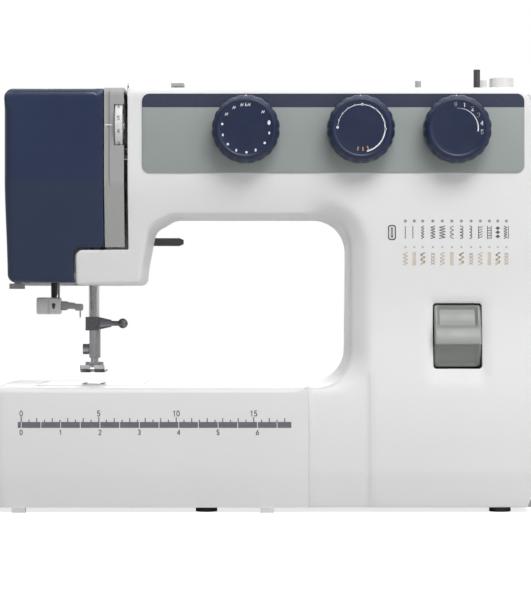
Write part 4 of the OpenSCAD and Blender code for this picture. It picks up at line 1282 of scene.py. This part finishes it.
# ------------------------------------------------------------------ stage, light and camera
def stage():
    s = 9.0
    me = bpy.data.meshes.new("floor")
    me.from_pydata([(-s, -s, 0), (s, -s, 0), (s, s, 0), (-s, s, 0)], [], [(0, 1, 2, 3)])
    fl = bpy.data.objects.new("floor", me)
    scene.collection.objects.link(fl)
    m, nt, bs = mat_new("floor_white")
    tc = nt.nodes.new("ShaderNodeTexCoord")
    a = noise(nt, tc.outputs["Object"], 3.0, 3.0)
    nt.links.new(mixc(nt, remap(nt, a, 0, 1), (0.50, 0.50, 0.50), (0.54, 0.54, 0.54)), bs.inputs["Base Color"])
    bs.inputs["Roughness"].default_value = 0.9
    bs.inputs["Specular IOR Level"].default_value = 0.1
    bs.inputs["Emission Color"].default_value = (1, 1, 1, 1)
    lpf = nt.nodes.new("ShaderNodeLightPath")
    nt.links.new(remap(nt, lpf.outputs["Is Camera Ray"], 0.0, 0.80, 0.0, 1.0), bs.inputs["Emission Strength"])
    me.materials.append(m)
    w = bpy.data.worlds.new("studio")
    scene.world = w
    w.use_nodes = True
    nt = w.node_tree
    nt.nodes.clear()
    out = nt.nodes.new("ShaderNodeOutputWorld")
    lp = nt.nodes.new("ShaderNodeLightPath")
    b1 = nt.nodes.new("ShaderNodeBackground")
    b1.inputs["Color"].default_value = (0.985, 0.99, 1.0, 1)
    wt = nt.nodes.new("ShaderNodeTexCoord")
    wsx = nt.nodes.new("ShaderNodeSeparateXYZ")
    nt.links.new(wt.outputs["Generated"], wsx.inputs[0])
    nt.links.new(remap(nt, wsx.outputs["Y"], 0.27, 0.95, -0.1, 0.6), b1.inputs["Strength"])
    b2 = nt.nodes.new("ShaderNodeBackground")
    b2.inputs["Color"].default_value = (1, 1, 1, 1)
    b2.inputs["Strength"].default_value = 1.0
    mx = nt.nodes.new("ShaderNodeMixShader")
    nt.links.new(lp.outputs["Is Camera Ray"], mx.inputs[0])
    nt.links.new(b1.outputs[0], mx.inputs[1])
    nt.links.new(b2.outputs[0], mx.inputs[2])
    nt.links.new(mx.outputs[0], out.inputs["Surface"])

    def area(name, loc, target, size, power, col=(1, 1, 1)):
        l = bpy.data.lights.new(name, "AREA")
        l.shape = "RECTANGLE"
        l.size, l.size_y = size
        l.energy = power
        l.color = col
        o = bpy.data.objects.new(name, l)
        o.location = loc
        o.rotation_euler = (Vector(target) - Vector(loc)).to_track_quat("-Z", "Y").to_euler()
        scene.collection.objects.link(o)
        return o

    area("key", (0.45, -1.35, 1.75), (0, 0, 0.14), (1.3, 0.8), 31)
    area("fill", (1.3, -1.6, 0.8), (0.05, 0, 0.14), (1.0, 1.0), 5.5)
    area("top", (0.0, 0.2, 1.7), (0, 0, 0.1), (1.8, 1.2), 6)
    area("back", (0.3, 1.7, 0.9), (0, 0, 0.15), (1.4, 1.0), 9)
    scene.view_settings.view_transform = "Standard"
    cam = bpy.data.cameras.new("camera")
    cam.lens = 148.8
    cam.sensor_width = 36.0
    cam.clip_start = 0.05
    co = bpy.data.objects.new("camera", cam)
    co.location = (0.0, -1.685, 0.1374)
    co.rotation_euler = (math.pi / 2, 0, 0)
    scene.collection.objects.link(co)
    scene.camera = co


stage()
bpy.context.view_layer.update()
